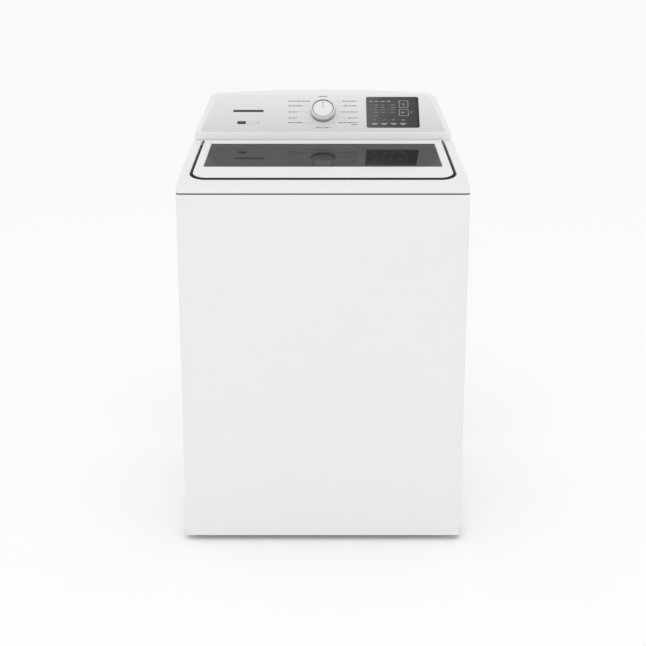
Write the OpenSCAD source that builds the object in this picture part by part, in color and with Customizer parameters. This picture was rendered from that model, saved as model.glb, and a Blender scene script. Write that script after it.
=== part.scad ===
// Top load washing machine: painted cabinet, sloping worktop with a glazed lid,
// tilted control console, and the suspended tub, basket, agitator and drive inside.
// Millimetres, +Z up. The front faces -Y. The origin is on the floor under the
// middle of the machine's bounding box, which is also the tub's axis.

/* [Cabinet] */
// Width of the cabinet
body_w = 698; // [640:1:840]
// Depth from the front panel to the tips of the ports at the back
body_d = 686; // [640:1:830]
// Height of the seam between the cabinet and the worktop
seam_z = 888; // [760:1:1070]
// Height of the cabinet's lower edge above the floor
skirt_z = 12; // [8:1:20]
// Thickness of the cabinet's sheet steel
sheet = 1.2; // [0.8:0.1:2]
// Radius of the cabinet's front upright corners
corner_r = 12; // [6:1:25]
// Length of a port or gland behind the rear panel
port_reach = 14; // [12:0.5:20]

/* [Worktop] */
// Slope of the worktop up to the back, in degrees
top_slope = 6.4; // [3:0.1:9]
// Depth of the rounded nose at the worktop's front
nose_d = 110; // [70:1:150]
// Rise of the rounded nose
nose_h = 26; // [18:1:40]
// Upright edge of the worktop at the seam
edge_h = 4; // [3:0.5:10]
// Radius of the worktop's side edges
side_r = 10; // [5:1:14]
// Wall thickness of the worktop moulding
top_wall = 3; // [2:0.5:5]

/* [Lid] */
// Width of the lid
lid_w = 636; // [560:1:650]
// Distance from the cabinet's front to the lid's front edge
lid_front = 46; // [40:1:80]
// Distance from the cabinet's front to the lid's rear edge
lid_back = 409; // [380:1:412]
// Radius of the lid's front corners
lid_corner_r = 35; // [15:1:60]
// Gap between the lid and the worktop
lid_gap = 4; // [3:0.5:6]
// Thickness of the lid
lid_t = 20; // [18:0.5:22]
// Depth of the rubber seal let into the lid's edge
seal_w = 2.5; // [2:0.5:4]
// Width of the visible glass
glass_w = 589; // [500:1:600]
// Distance from the cabinet's front to the glass's front edge
glass_front = 140; // [120:1:180]
// Distance from the cabinet's front to the glass's rear edge
glass_back = 378; // [330:1:378]
// Thickness of the glass
glass_t = 4; // [3:0.5:5]
// Radius of the lid's hinge pins
hinge_pin_r = 4; // [3:0.5:5]

/* [Console] */
// Distance from the cabinet's front to the console's front edge
console_front = 415; // [415:1:440]
// Width of the console at its foot
console_w = 686; // [640:1:698]
// Height of the upright lip below the console's face
lip_h = 18; // [12:1:25]
// Angle of the console's face from upright, in degrees
face_angle = 46; // [35:1:55]
// Length of the console's face up its slope
face_len = 146; // [130:1:160]
// Inward lean of the console's ends, in degrees
end_lean = 21; // [10:1:24]
// Radius where the console's ends turn into its top
end_round = 26; // [15:1:35]
// Width of the console's white border round the fascia
border = 13; // [8:1:20]
// Thickness of the fascia
fascia_t = 2.5; // [2:0.5:4]
// Wall thickness of the console housing
console_wall = 3; // [2:0.5:4]

/* [Controls] */
// Diameter of the cycle knob's skirt
knob_d = 65; // [50:1:70]
// Diameter of the cycle knob's face
knob_face_d = 60; // [40:1:64]
// Height of the cycle knob's face above the fascia
knob_h = 20; // [14:1:26]
// Radius of the knob's shaft
knob_shaft_r = 3; // [2.5:0.5:4]
// Width of the display lens
lens_w = 142; // [130:1:150]
// Height of the display lens up the face
lens_h = 107; // [100:1:112]
// Thickness of the display lens
lens_t = 1.6; // [1:0.2:3]
// Width of the power and start keys
key_w = 27; // [20:1:28]
// Width of an option key
option_w = 18; // [14:1:21]
// Height of an option key
option_h = 9; // [7:1:12]
// Travel of a key
key_travel = 1.2; // [0.8:0.1:1.6]

/* [Tub] */
// Outer radius of the outer tub
tub_r = 285; // [270:1:290]
// Height of the outer tub's underside
tub_z = 250; // [240:1:280]
// Height of the outer tub's rim
tub_top = 850; // [700:1:852]
// Wall thickness of the outer tub
tub_wall = 3; // [2:0.5:5]
// Outer radius of the basket
basket_r = 262; // [240:1:265]
// Thickness of the basket's steel
basket_wall = 1; // [0.8:0.1:2]
// Radius of the wash plate at the agitator's foot
wash_plate_r = 225; // [180:1:235]
// Height of the agitator above the wash plate
agitator_h = 330; // [250:1:380]
// Radius of the agitator post's foot
post_r = 62; // [50:1:75]

/* [Drive] */
// Radius of the agitator shaft
shaft_r = 10; // [8:0.5:12]
// Radial running clearance of shafts and pins
run_gap = 0.05; // [0.02:0.01:0.1]
// Groove radius of the driven pulley
pulley_r = 88; // [70:1:95]
// Groove radius of the motor pulley
motor_pulley_r = 12; // [10:1:20]
// Distance from the tub's axis to the motor's axis
motor_off = 150; // [140:1:170]

/* [Suspension] */
// Distance of each suspension rod from the middle, along X and along Y
rod_off = 262; // [255:1:268]
// Radius of a suspension rod
rod_r = 5; // [4:0.5:6]

/* [Hidden] */
$fn = 64;
eps = 0.01;
far = 2000;

white = [0.93, 0.94, 0.94];
panel_grey = [0.87, 0.88, 0.89];
dark = [0.10, 0.10, 0.12];
steel = [0.70, 0.71, 0.73];
zinc = [0.62, 0.64, 0.66];
rubber = [0.16, 0.16, 0.17];
tub_grey = [0.76, 0.78, 0.80];
board_green = [0.12, 0.34, 0.20];

front_y = -body_d / 2;
back_y = body_d / 2 - port_reach;     // outer face of the rear panel
wrap_back = back_y - sheet;           // rear edge of the wrapper
half_w = body_w / 2;
inner_w = half_w - sheet;
console_y = front_y + console_front;

// The worktop's upper surface: a sloping line with a quarter-ellipse nose at its front.
function line_z(d) = seam_z + edge_h + nose_h + tan(top_slope) * d;
function top_z(d) = d >= nose_d ? line_z(d)
    : line_z(d) - nose_h * (1 - sqrt(1 - pow((nose_d - d) / nose_d, 2)));
// The recess floor and the lid's underside are planes parallel to the sloping line.
recess_depth = lid_t + 8;
function floor_z(d) = line_z(d) - recess_depth;
deck_z = line_z(console_front);       // level part of the worktop under the console

hinge_d = lid_back - 13;
seal_drop = 4.5;                      // white edge left above and below the lid's seal
hinge_y = front_y + hinge_d;
hinge_z = line_z(hinge_d) - lid_t / 2;

crease_y = console_y + 3;
crease_z = deck_z + lip_h;
crest_y = crease_y + face_len * sin(face_angle);
crest_z = crease_z + face_len * cos(face_angle);
console_back = back_y - 2;
console_rear_z = crest_z - 36;
cover_y = console_back - console_wall - sheet;      // inner face of the console's rear cover
valve_z = deck_z + 34;
valve_x = [-200, -150];

knob_t = 70;                          // places up the console's face
lens_x = 188;
lens_mid = 70;
key_x = 218;
power_t = 97.5;
start_t = 68;
option_t = 42;
option_pitch = 25.3;
option_x = 139;
key_gap = 0.4;

foot_x = half_w - 48;
foot_y = body_d / 2 - 56;
plate_z = 32;
plate_t = 3;
stem_r = 5;

ear_z = 318;
ear_t = 12;
bracket_z = seam_z - 30;
bracket_t = 6;
spring_foot = 225;

basket_z = tub_z + 36;
basket_top = tub_top - 34;
wash_z = basket_z + 14;               // underside of the wash plate
post_z = wash_z + 20;                 // foot of the agitator post
wash_r = min(wash_plate_r, basket_r - 30);
pulley_z = 100;
pulley_h = 16;
case_z = 140;
pump_x = -150;
pump_y = 120;
port_z = seam_z - 68;
port_r = 14;                          // the drain port's spigot
port_body_r = 17.7;
gland_x = 250;
gland_z = 120;
gland_r = 11;
screw_r = 2.2;
screw_zs = [60, seam_z / 2, seam_z - 60];
screw_x = half_w - 14;
inlet_r = 13.2;                       // the hose threads on the inlet valve
mouth_r = 242;                        // opening in the worktop over the basket
ring_in_r = 236;                      // opening in the tub's ring
lock_x = 150;
lock_d = 62;

// ---- shared shapes ----

// A prism along X from an outline drawn in the YZ plane.
module x_prism(points, w) {
    rotate([90, 0, 90]) linear_extrude(w, center = true) polygon(points);
}

// A rounded rectangle from its lowest corner, made of true arcs.
module rounded(w, h, r) {
    translate([r, 0]) square([w - 2 * r, h]);
    translate([0, r]) square([w, h - 2 * r]);
    for (x = [r, w - r]) for (y = [r, h - r]) translate([x, y]) circle(r);
}

// A ring or tube standing on z = 0.
module ring(ro, ri, h) {
    difference() {
        cylinder(h = h, r = ro);
        translate([0, 0, -1]) cylinder(h = h + 2, r = ri);
    }
}

// Places its children in the console face's plane: x across, y up the slope, z outwards.
module on_face(x, t, out = 0) {
    translate([0, crease_y, crease_z]) rotate([90 - face_angle, 0, 0])
        translate([x, t, out]) children();
}

// A round bar through a list of points, with ball bends.
module pipe(points, r) {
    for (i = [0:len(points) - 2]) {
        span = points[i + 1] - points[i];
        len_xy = norm([span.x, span.y]);
        translate(points[i]) rotate([0, atan2(len_xy, span.z), atan2(span.y, span.x)])
            cylinder(h = norm(span), r = r);
    }
    for (i = [1:len(points) - 2]) translate(points[i]) sphere(r);
}

// The outline of the lid seen from above, grown by gap; the rear edge goes back by rear.
module lid_plan(gap, rear) {
    w = lid_w + 2 * gap;
    r = lid_corner_r + gap;
    y0 = front_y + lid_front - gap;
    y1 = front_y + lid_back + rear;
    translate([-w / 2, y0 + r]) square([w, y1 - y0 - r]);
    translate([r - w / 2, y0]) square([w - 2 * r, r + 1]);
    for (side = [-1, 1]) translate([side * (w / 2 - r), y0 + r]) circle(r);
}

// A rectangle seen from above, from its half width and its distances behind the front.
module plan_box(hw, d0, d1) {
    translate([-hw, front_y + d0]) square([2 * hw, d1 - d0]);
}

// Everything between two surfaces that lie below_a and below_b under the sloping line.
module between(below_a, below_b) {
    x_prism([[front_y - 50, line_z(-50) - below_b], [-front_y, line_z(body_d) - below_b],
        [-front_y, line_z(body_d) - below_a], [front_y - 50, line_z(-50) - below_a]], body_w + 20);
}

// The filled shape of the worktop, drawn in by inset on every outer side.
module worktop_form(inset) {
    hull() for (a = [0:18:90]) {
        drop = side_r * (1 - cos(a)) + inset;
        w = body_w - 2 * inset - 2 * side_r * (1 - sin(a));
        low = seam_z - inset;
        nose = [for (u = [0:9:90]) let (d = nose_d * (1 - cos(u)))
            [front_y + d + inset * cos(u), max(low + 0.5, top_z(d) - drop)]];
        x_prism(concat([[front_y + inset, low]], nose,
            [[console_y, deck_z - drop], [wrap_back - inset, deck_z - drop],
             [wrap_back - inset, low]]), w);
    }
}

// The filled shape of the lid between its plan, its top surface and its underside.
module lid_form() {
    intersection() {
        worktop_form(0);
        between(-far, lid_t);
        translate([0, 0, seam_z]) linear_extrude(far) lid_plan(0, 0);
    }
}

// The console's filled side profile crossed with its filled front profile, whose ends
// lean inwards and turn into the top with a tangent arc.
module console_form(inset) {
    low = deck_z - inset;
    foot = console_w / 2 - inset;
    lean_z = crease_z - 4;
    round_z = crest_z + 3 - end_round;
    round_x = console_w / 2 - (round_z - lean_z) * tan(end_lean) - end_round / cos(end_lean);
    r = end_round - inset;
    half = concat([[foot, low], [foot, lean_z]],
        [for (i = [0:6]) let (a = end_lean + (90 - end_lean) * i / 6)
            [round_x + r * cos(a), round_z + r * sin(a)]]);
    other = [for (i = [len(half) - 1:-1:0]) [-half[i].x, half[i].y]];
    intersection() {
        x_prism([[console_y + inset, low], [crease_y + inset, crease_z - inset / 2],
            [crest_y + inset / 2, crest_z - inset * 1.2], [crest_y + 9, crest_z + 3 - inset],
            [crest_y + 36, crest_z - inset], [console_back - 14, console_rear_z - inset],
            [console_back - inset, console_rear_z - 16], [console_back - inset, low]], body_w);
        rotate([90, 0, 0]) linear_extrude(far, center = true) polygon(concat(half, other));
    }
}

// The fascia's outline in the plane of the face.
module fascia_plan(shrink) {
    low_hw = console_w / 2 - border - 3 - shrink;
    lean = tan(end_lean) * cos(face_angle);
    high = face_len - 4 - shrink;
    low = 2 + shrink;
    r = 14;
    hw = low_hw - lean * (high - r);
    polygon([[-low_hw, low], [low_hw, low], [hw, high - r], [-hw, high - r]]);
    translate([-hw + r, high - r - 1]) square([2 * (hw - r), r + 1]);
    for (sx = [-1, 1]) translate([sx * (hw - r), high - r]) circle(r);
}

// ---- cabinet ----

module cabinet_wrapper() color(white) {
    depth = wrap_back - front_y;
    flange = 22;
    translate([0, 0, skirt_z]) linear_extrude(seam_z - skirt_z) difference() {
        union() {
            translate([-half_w, front_y]) rounded(body_w, depth, corner_r);
            translate([-half_w, 0]) square([body_w, wrap_back]);
        }
        translate([-inner_w, front_y + sheet])
            rounded(2 * inner_w, depth, corner_r - sheet);
        translate([-inner_w, 0]) square([2 * inner_w, wrap_back - sheet]);
        translate([flange - half_w, 0]) square([body_w - 2 * flange, far]);
    }
}

module rear_panel() color(zinc) {
    w = body_w - 12;
    rib_w = 20;
    difference() {
        union() {
            translate([-w / 2, wrap_back, skirt_z]) cube([w, sheet, seam_z - skirt_z]);
            for (x = [-200, 0, 200]) translate([x - rib_w / 2, wrap_back, 220])
                cube([rib_w, sheet + 2, seam_z - 420]);
        }
        translate([gland_x, wrap_back - 1, gland_z]) rotate([-90, 0, 0])
            cylinder(h = 9, r = gland_r);
        translate([pump_x, wrap_back - 1, port_z]) rotate([-90, 0, 0])
            cylinder(h = 9, r = port_body_r + 0.3);
        for (sx = [-1, 1]) for (z = screw_zs)
            translate([sx * screw_x, wrap_back - 1, z]) rotate([-90, 0, 0])
                cylinder(h = 9, r = screw_r);
    }
}

module rear_panel_screws() color(zinc) {
    for (sx = [-1, 1]) for (z = screw_zs)
        translate([sx * screw_x, back_y, z]) rotate([-90, 0, 0]) {
            cylinder(h = 2.6, r = 4.5, $fn = 6);
            translate([0, 0, -sheet]) cylinder(h = sheet + eps, r = screw_r);
        }
}

module cord_gland() color(rubber) {
    translate([gland_x, wrap_back - 6, gland_z]) rotate([-90, 0, 0]) difference() {
        union() {
            cylinder(h = 6 + sheet + 4, r = gland_r);
            translate([0, 0, 6 + sheet]) cylinder(h = 3, r = gland_r + 4);
        }
        translate([0, 0, -1]) cylinder(h = 30, r = 4.5);
    }
}

module drain_port() color(rubber) {
    translate([pump_x, wrap_back - 20, port_z]) rotate([-90, 0, 0]) difference() {
        union() {
            cylinder(h = 20 + sheet + port_reach, r = port_r);
            cylinder(h = 20 + sheet, r = port_body_r);
            translate([0, 0, 20 + sheet]) cylinder(h = 2, r = 24);
        }
        translate([0, 0, -1]) cylinder(h = 60, r = port_r - 3.5);
    }
}

module base_frame() color(zinc) {
    hw = inner_w;
    y0 = front_y + sheet;
    y1 = wrap_back - sheet;
    rail_h = 30;
    rail_w = 34;
    plate = 96;
    difference() {
        union() {
            translate([0, 0, plate_z]) linear_extrude(rail_h) difference() {
                translate([-hw, y0]) rounded(2 * hw, y1 - y0, corner_r);
                translate([2 - hw, y0 + 2]) rounded(2 * hw - 4, y1 - y0 - 4, corner_r - 2);
            }
            translate([0, 0, plate_z]) linear_extrude(2) difference() {
                translate([-hw, y0]) rounded(2 * hw, y1 - y0, corner_r);
                translate([rail_w - hw, y0 + rail_w])
                    rounded(2 * hw - 2 * rail_w, y1 - y0 - 2 * rail_w, 30);
            }
            for (sx = [-1, 1]) for (sy = [-1, 1])
                intersection() {
                    translate([-hw, y0, plate_z]) cube([2 * hw, y1 - y0, plate_t]);
                    translate([sx * hw - plate / 2, (sy > 0 ? y1 : y0) - plate / 2, plate_z])
                        translate([-sx * plate / 2, -sy * plate / 2, 0])
                            cube([plate, plate, plate_t]);
                    translate([0, 0, plate_z]) linear_extrude(plate_t)
                        translate([-hw, y0]) rounded(2 * hw, y1 - y0, corner_r);
                }
        }
        for (sx = [-1, 1]) for (sy = [-1, 1])
            translate([sx * foot_x, sy * foot_y, 0]) cylinder(h = 100, r = stem_r);
    }
}

module levelling_feet() color(rubber) {
    for (sx = [-1, 1]) for (sy = [-1, 1]) translate([sx * foot_x, sy * foot_y, 0]) {
        cylinder(h = 9, r = 21);
        translate([0, 0, 9]) cylinder(h = 5, r1 = 16, r2 = 11);
        cylinder(h = plate_z + 28, r = stem_r);
    }
}

module foot_locknuts() color(zinc) {
    for (sx = [-1, 1]) for (sy = [-1, 1]) translate([sx * foot_x, sy * foot_y, plate_z - 6])
        difference() {
            cylinder(h = 6, r = 10, $fn = 6);
            translate([0, 0, -1]) cylinder(h = 9, r = stem_r);
        }
}

module corner_brackets() color(zinc) {
    lip = 14;
    for (sx = [-1, 1]) for (sy = [-1, 1]) {
        ey = sy > 0 ? wrap_back - sheet : -front_y - sheet;
        inset = sy > 0 ? 0.1 : corner_r;
        leg = inner_w + ey - 2 * rod_off + 35;
        translate([0, 0, bracket_z]) difference() {
            linear_extrude(bracket_t) polygon([[sx * inner_w, sy * (ey - inset)],
                [sx * (inner_w - inset), sy * ey], [sx * (inner_w - leg), sy * ey],
                [sx * (inner_w - leg), sy * (ey - lip)], [sx * (inner_w - lip), sy * (ey - leg)],
                [sx * inner_w, sy * (ey - leg)]]);
            translate([sx * rod_off, sy * rod_off, -1])
                cylinder(h = bracket_t + 2, r = rod_r + 1.5);
        }
    }
}

// ---- worktop ----

module worktop() color(white) {
    difference() {
        union() {
            difference() {
                worktop_form(0);
                worktop_form(top_wall);
            }
            intersection() {
                worktop_form(0);
                between(-far, recess_depth + top_wall);
                translate([0, 0, seam_z]) linear_extrude(far)
                    lid_plan(lid_gap + top_wall, console_front - lid_back + top_wall);
            }
        }
        intersection() {
            between(-far, recess_depth);
            translate([0, 0, seam_z]) linear_extrude(far)
                lid_plan(lid_gap, console_front - lid_back);
        }
        // Opening over the basket.
        translate([0, 0, seam_z - 5]) linear_extrude(far) intersection() {
            circle(mouth_r, $fn = 96);
            translate([-far / 2, -far / 2]) square([far, far / 2 + hinge_y - 13]);
        }
        // Way for hoses and leads under the console.
        translate([-230, console_back - 60, deck_z - 10]) cube([400, 55, 20]);
        // Slot for the lid's strike.
        translate([lock_x - 9, front_y + lock_d - 14, seam_z - 2]) cube([18, 20, 40]);
        // Holes for the hinge pins.
        translate([0, hinge_y, hinge_z]) rotate([0, 90, 0])
            cylinder(h = lid_w + 2 * lid_gap + 2 * top_wall + 2, r = hinge_pin_r + 1, center = true);
    }
}

bumper_r = 7;
module lid_bumpers() color(rubber) {
    for (sx = [-1, 1]) for (d = [lid_front + 30, hinge_d - 46]) intersection() {
        translate([sx * (lid_w / 2 - 30), front_y + d, seam_z]) cylinder(h = 100, r = bumper_r);
        between(lid_t + 0.2, recess_depth);
    }
}

bush_r = hinge_pin_r + 2.5;
module hinge_bushes() color(dark) {
    x0 = lid_w / 2 + lid_gap + top_wall;
    for (side = [0, 1]) mirror([side, 0, 0]) translate([x0, hinge_y, hinge_z])
        difference() {
            union() {
                rotate([0, 90, 0]) cylinder(h = 10, r = bush_r);
                translate([0, -bush_r, -14]) cube([10, 2 * bush_r, 14]);
            }
            translate([-1, 0, 0]) rotate([0, 90, 0])
                cylinder(h = 20, r = hinge_pin_r + run_gap);
        }
}

lock_roof = floor_z(lock_d - 20) - top_wall;       // lowest point of the lock's top
module lid_lock_housing() color(dark) {
    difference() {
        intersection() {
            translate([lock_x - 16, front_y + lock_d - 20, lock_roof - 26]) cube([62, 36, 40]);
            between(recess_depth + top_wall, far);
        }
        translate([lock_x - 9, front_y + lock_d - 14, lock_roof - 23]) cube([18, 20, 60]);
        translate([lock_x, front_y + lock_d - 5.3, lock_roof - 15.3]) cube([43, 5.8, 8.6]);
    }
}

module lid_lock_bolt() color(steel) {
    translate([lock_x + 9.4, front_y + lock_d - 5, lock_roof - 15]) cube([26, 5.2, 8]);
}

// ---- lid ----

// The band of the lid's front and side edges that carries the seal.
module seal_band(inset) {
    intersection() {
        linear_extrude(far) difference() {
            lid_plan(1, 1);
            lid_plan(-inset, 1);
        }
        linear_extrude(far) plan_box(half_w, 0, hinge_d - 12);
        between(seal_drop, lid_t - seal_drop);
    }
}

module lid_frame() color(white) {
    hw = glass_w / 2;
    difference() {
        lid_form();
        seal_band(seal_w);
        linear_extrude(far) plan_box(hw, glass_front, glass_back);
        intersection() {
            linear_extrude(far) plan_box(hw + 6, glass_front - 6, glass_back + 6);
            between(2, far);
        }
        intersection() {
            linear_extrude(far) plan_box(lid_w / 2 - 12, lid_front + 22, hinge_d - 11);
            between(2 + glass_t, far);
        }
        translate([0, hinge_y, hinge_z]) rotate([0, 90, 0])
            cylinder(h = lid_w + 2, r = hinge_pin_r, center = true);
    }
}

module lid_seal() color(rubber) {
    intersection() {
        seal_band(seal_w);
        linear_extrude(far) lid_plan(0, 0);
    }
}

module lid_glass() color([0.35, 0.38, 0.40, 0.6]) {
    intersection() {
        linear_extrude(far) plan_box(glass_w / 2 + 5.5, glass_front - 5.5, glass_back + 5.5);
        between(2, 2 + glass_t);
    }
}

module lid_liner() color(panel_grey) {
    hw = lid_w / 2 - 12.4;
    d0 = lid_front + 22.4;
    d1 = hinge_d - 11.4;
    wall = 2.5;
    win_hw = glass_w / 2 - 14;
    difference() {
        intersection() {
            linear_extrude(far) plan_box(hw, d0, d1);
            between(2 + glass_t, lid_t);
        }
        linear_extrude(far) plan_box(win_hw, glass_front + 14, glass_back - 14);
        intersection() {
            linear_extrude(far) difference() {
                plan_box(hw - wall, d0 + wall, d1 - wall);
                plan_box(win_hw + wall, glass_front + 14 - wall, glass_back - 14 + wall);
            }
            between(-far, lid_t - wall);
        }
    }
}

module lid_hinge_pins() color(steel) {
    x1 = lid_w / 2 + lid_gap + top_wall + 9;
    for (side = [0, 1]) mirror([side, 0, 0]) translate([x1 - 44, hinge_y, hinge_z])
        rotate([0, 90, 0]) cylinder(h = 44, r = hinge_pin_r);
}

module lid_strike() color(steel) {
    difference() {
        intersection() {
            translate([lock_x - 5, front_y + lock_d - 8, lock_roof - 18]) cube([10, 11, 60]);
            between(lid_t, far);
        }
        translate([lock_x - 8, front_y + lock_d - 6, lock_roof - 16]) cube([16, 7.2, 10]);
    }
}

// ---- console ----

module console_housing() color(white) {
    difference() {
        console_form(0);
        intersection() {
            console_form(console_wall);
            on_face(0, 0, -far - fascia_t - console_wall) translate([-far / 2, -far / 2, 0])
                cube([far, far, far]);
        }
        on_face(0, 0, -fascia_t) linear_extrude(50) fascia_plan(0);
        on_face(0, 0, -30) linear_extrude(40) translate([-282, 14]) square([564, face_len - 30]);
        // The rear is closed by its own cover.
        translate([-268, console_back - 20, deck_z - 1]) cube([536, 40, console_rear_z - deck_z - 24]);
    }
}

module console_fascia() color(panel_grey) {
    difference() {
        on_face(0, 0, -fascia_t) linear_extrude(fascia_t) fascia_plan(0.4);
        on_face(0, knob_t, -20) cylinder(h = 40, r = knob_shaft_r + 2);
        on_face(lens_x, lens_mid, -20) translate([3 - lens_w / 2, 3 - lens_h / 2, 0])
            cube([lens_w - 6, lens_h - 6, 40]);
    }
}

module console_rear_cover() color(zinc) {
    difference() {
        translate([-276, cover_y, deck_z]) cube([552, sheet, console_rear_z - 21 - deck_z]);
        for (x = valve_x) translate([x, cover_y - 1, valve_z]) rotate([-90, 0, 0])
            cylinder(h = 20, r = inlet_r + 1.8);
    }
}

module inlet_valve() color(white) {
    difference() {
        union() {
            translate([valve_x[0] - 16, cover_y - 34, valve_z - 16]) cube([82, 30, 32]);
            translate([(valve_x[0] + valve_x[1]) / 2, cover_y - 19, valve_z - 26])
                cylinder(h = 16, r = 9);
            for (x = valve_x) {
                translate([x, cover_y - 5, valve_z]) rotate([-90, 0, 0])
                    cylinder(h = body_d / 2 - cover_y + 5, r = inlet_r);
                translate([x, cover_y, valve_z]) rotate([-90, 0, 0])
                    cylinder(h = sheet + 0.5, r = inlet_r + 1.3);
                translate([x, cover_y - 4, valve_z]) rotate([-90, 0, 0]) cylinder(h = 4, r = 18);
                translate([x, cover_y - 19, valve_z + 15]) cylinder(h = 14, r = 12);
            }
        }
        for (x = valve_x) translate([x, cover_y - 4, valve_z]) rotate([-90, 0, 0])
            cylinder(h = 80, r = inlet_r - 3.7);
    }
}

module fill_hose() color(rubber) {
    y = cover_y - 19;
    x = (valve_x[0] + valve_x[1]) / 2;
    z = deck_z - 38;
    turn = console_y + 14;
    pipe([[x, y, valve_z - 26], [x, y, z], [x, turn, z], [-30, turn, z]], 9);
}

module fill_spout() color(white) {
    z1 = floor_z(console_front - 28) - top_wall;
    difference() {
        union() {
            intersection() {
                translate([-36, console_y - 28, z1 - 34]) cube([72, 24, 60]);
                between(recess_depth + top_wall, far);
            }
            translate([-30, console_y + 4, deck_z - 49]) cube([48, 22, 22]);
            translate([-30, console_y - 10, deck_z - 49]) cube([48, 26, 16]);
        }
        translate([-28, console_y - 24, z1 - 60]) cube([56, 16, 70]);
    }
}

// ---- controls ----

function option_keys() = [for (i = [0:3]) [option_x + i * option_pitch, option_t]];

module key_hole(x, t, w, h) {
    on_face(x, t, -10) translate([-w / 2 - key_gap, -h / 2 - key_gap, 0])
        cube([w + 2 * key_gap, h + 2 * key_gap, 30]);
}

module display_lens() color(dark) {
    difference() {
        on_face(lens_x, lens_mid, 0) linear_extrude(lens_t)
            translate([-lens_w / 2, -lens_h / 2]) rounded(lens_w, lens_h, 5);
        key_hole(key_x, power_t, key_w, key_w - 1);
        key_hole(key_x, start_t, key_w, key_w - 1);
        for (k = option_keys()) key_hole(k.x, k.y, option_w, option_h);
    }
}

// A key: its cap stands in the lens and its stem reaches back to the board's switch.
module key(x, t, w, h) {
    on_face(x, t, -4) translate([-w / 2, -h / 2, 0]) cube([w, h, 4 + lens_t + 0.3]);
    on_face(x, t, -18 + key_travel + 0.4) cylinder(h = 15, r = 3);
}

module power_key() color(dark) key(key_x, power_t, key_w, key_w - 1);
module start_key() color(dark) key(key_x, start_t, key_w, key_w - 1);
module option_key(i) {
    spot = option_keys()[i - 1];
    key(spot.x, spot.y, option_w, option_h);
}
module option_key_1() color(dark) option_key(1);
module option_key_2() color(dark) option_key(2);
module option_key_3() color(dark) option_key(3);
module option_key_4() color(dark) option_key(4);

module control_board() color(board_green) {
    on_face(lens_x, lens_mid, -22) translate([-76, -50, 0]) cube([152, 100, 1.6]);
    for (k = concat(option_keys(), [[key_x, power_t], [key_x, start_t]]))
        on_face(k.x, k.y, -21) translate([-3, -3, 0]) cube([6, 6, 3.2]);
    for (sx = [-1, 1]) for (st = [-1, 1]) on_face(lens_x + sx * 71.5, lens_mid + st * 46, -21)
        cylinder(h = 21 - fascia_t, r = 2.5);
}

module knob_ring() color(steel) {
    on_face(0, knob_t, 0) ring(knob_d / 2 + 2.4, knob_d / 2 - 6, 1.2);
}

module selector_encoder() color(dark) {
    on_face(0, knob_t, 0) difference() {
        union() {
            translate([-20, -20, -24]) cube([40, 40, 24 - fascia_t]);
            translate([0, 0, -fascia_t]) cylinder(h = fascia_t, r = knob_shaft_r + 1.6);
        }
        translate([0, 0, -18]) cylinder(h = 30, r = knob_shaft_r + run_gap);
    }
}

module cycle_knob() color(white) {
    face_r = min(knob_face_d, knob_d - 5) / 2;
    on_face(0, knob_t, 0) difference() {
        union() {
            translate([0, 0, 2]) cylinder(h = 3.5, r = knob_d / 2);
            translate([0, 0, 5.5]) cylinder(h = 2.5, r1 = knob_d / 2, r2 = face_r + 2);
            translate([0, 0, 8]) cylinder(h = knob_h - 9, r1 = face_r + 2, r2 = face_r + 0.6);
            translate([0, 0, knob_h - 1]) cylinder(h = 1, r1 = face_r + 0.6, r2 = face_r - 0.6);
            translate([0, 0, -17]) cylinder(h = 30, r = knob_shaft_r);
        }
        translate([0, 0, 1]) difference() {
            cylinder(h = knob_h - 5, r = face_r - 2);
            translate([0, 0, -1]) cylinder(h = knob_h, r = knob_shaft_r + 3);
        }
    }
}

module pressure_sensor() color(dark) {
    z = deck_z + 32;
    translate([-90, cover_y - 26, z]) rotate([-90, 0, 0]) cylinder(h = 26, r = 21);
    translate([-90, cover_y - 13, z - 34]) cylinder(h = 16, r = 4);
}

// ---- suspension ----

module suspension_rods() color(steel) {
    for (sx = [-1, 1]) for (sy = [-1, 1]) translate([sx * rod_off, sy * rod_off, 0]) {
        translate([0, 0, bracket_z + bracket_t]) cylinder(h = 8, r = 13);
        translate([0, 0, spring_foot - 6])
            cylinder(h = bracket_z + bracket_t - spring_foot + 8, r = rod_r);
        translate([0, 0, spring_foot - 10]) cylinder(h = 10, r = 18);
    }
}

module suspension_springs() color(steel) {
    for (sx = [-1, 1]) for (sy = [-1, 1])
        translate([sx * rod_off, sy * rod_off, spring_foot])
            ring(16, rod_r + 3, ear_z - spring_foot);
}

// ---- tub ----

module outer_tub() color(tub_grey) {
    difference() {
        union() {
            translate([0, 0, tub_z]) cylinder(h = tub_top - tub_z, r = tub_r, $fn = 96);
            for (sx = [-1, 1]) for (sy = [-1, 1]) rotate([0, 0, atan2(sy, sx)])
                translate([tub_r - 20, -24, ear_z])
                    cube([rod_off * sqrt(2) - tub_r + 46, 48, ear_t]);
        }
        translate([0, 0, tub_z + 6])
            cylinder(h = tub_top - tub_z, r = tub_r - tub_wall, $fn = 96);
        translate([0, 0, tub_z - 1]) cylinder(h = 9, r = shaft_r + 18);
        translate([pump_x, pump_y, tub_z - 1]) cylinder(h = 9, r = 16);
        for (sx = [-1, 1]) for (sy = [-1, 1])
            translate([sx * rod_off, sy * rod_off, ear_z - 1])
                cylinder(h = ear_t + 2, r = rod_r + 1.5);
    }
}

module tub_ring() color(tub_grey) {
    translate([0, 0, tub_top]) ring(tub_r + 3, ring_in_r, 3);
    translate([0, 0, tub_top]) ring(ring_in_r + 5, ring_in_r, 12);
    translate([0, 0, tub_top - 12]) ring(tub_r + 3, tub_r + 0.2, 13);
}

sleeve_r = shaft_r + 5;
module tub_bearings() color(steel) {
    for (z = [case_z + 14, tub_z - 16]) translate([0, 0, z]) ring(sleeve_r + 12, sleeve_r + run_gap, 14);
}

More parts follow.
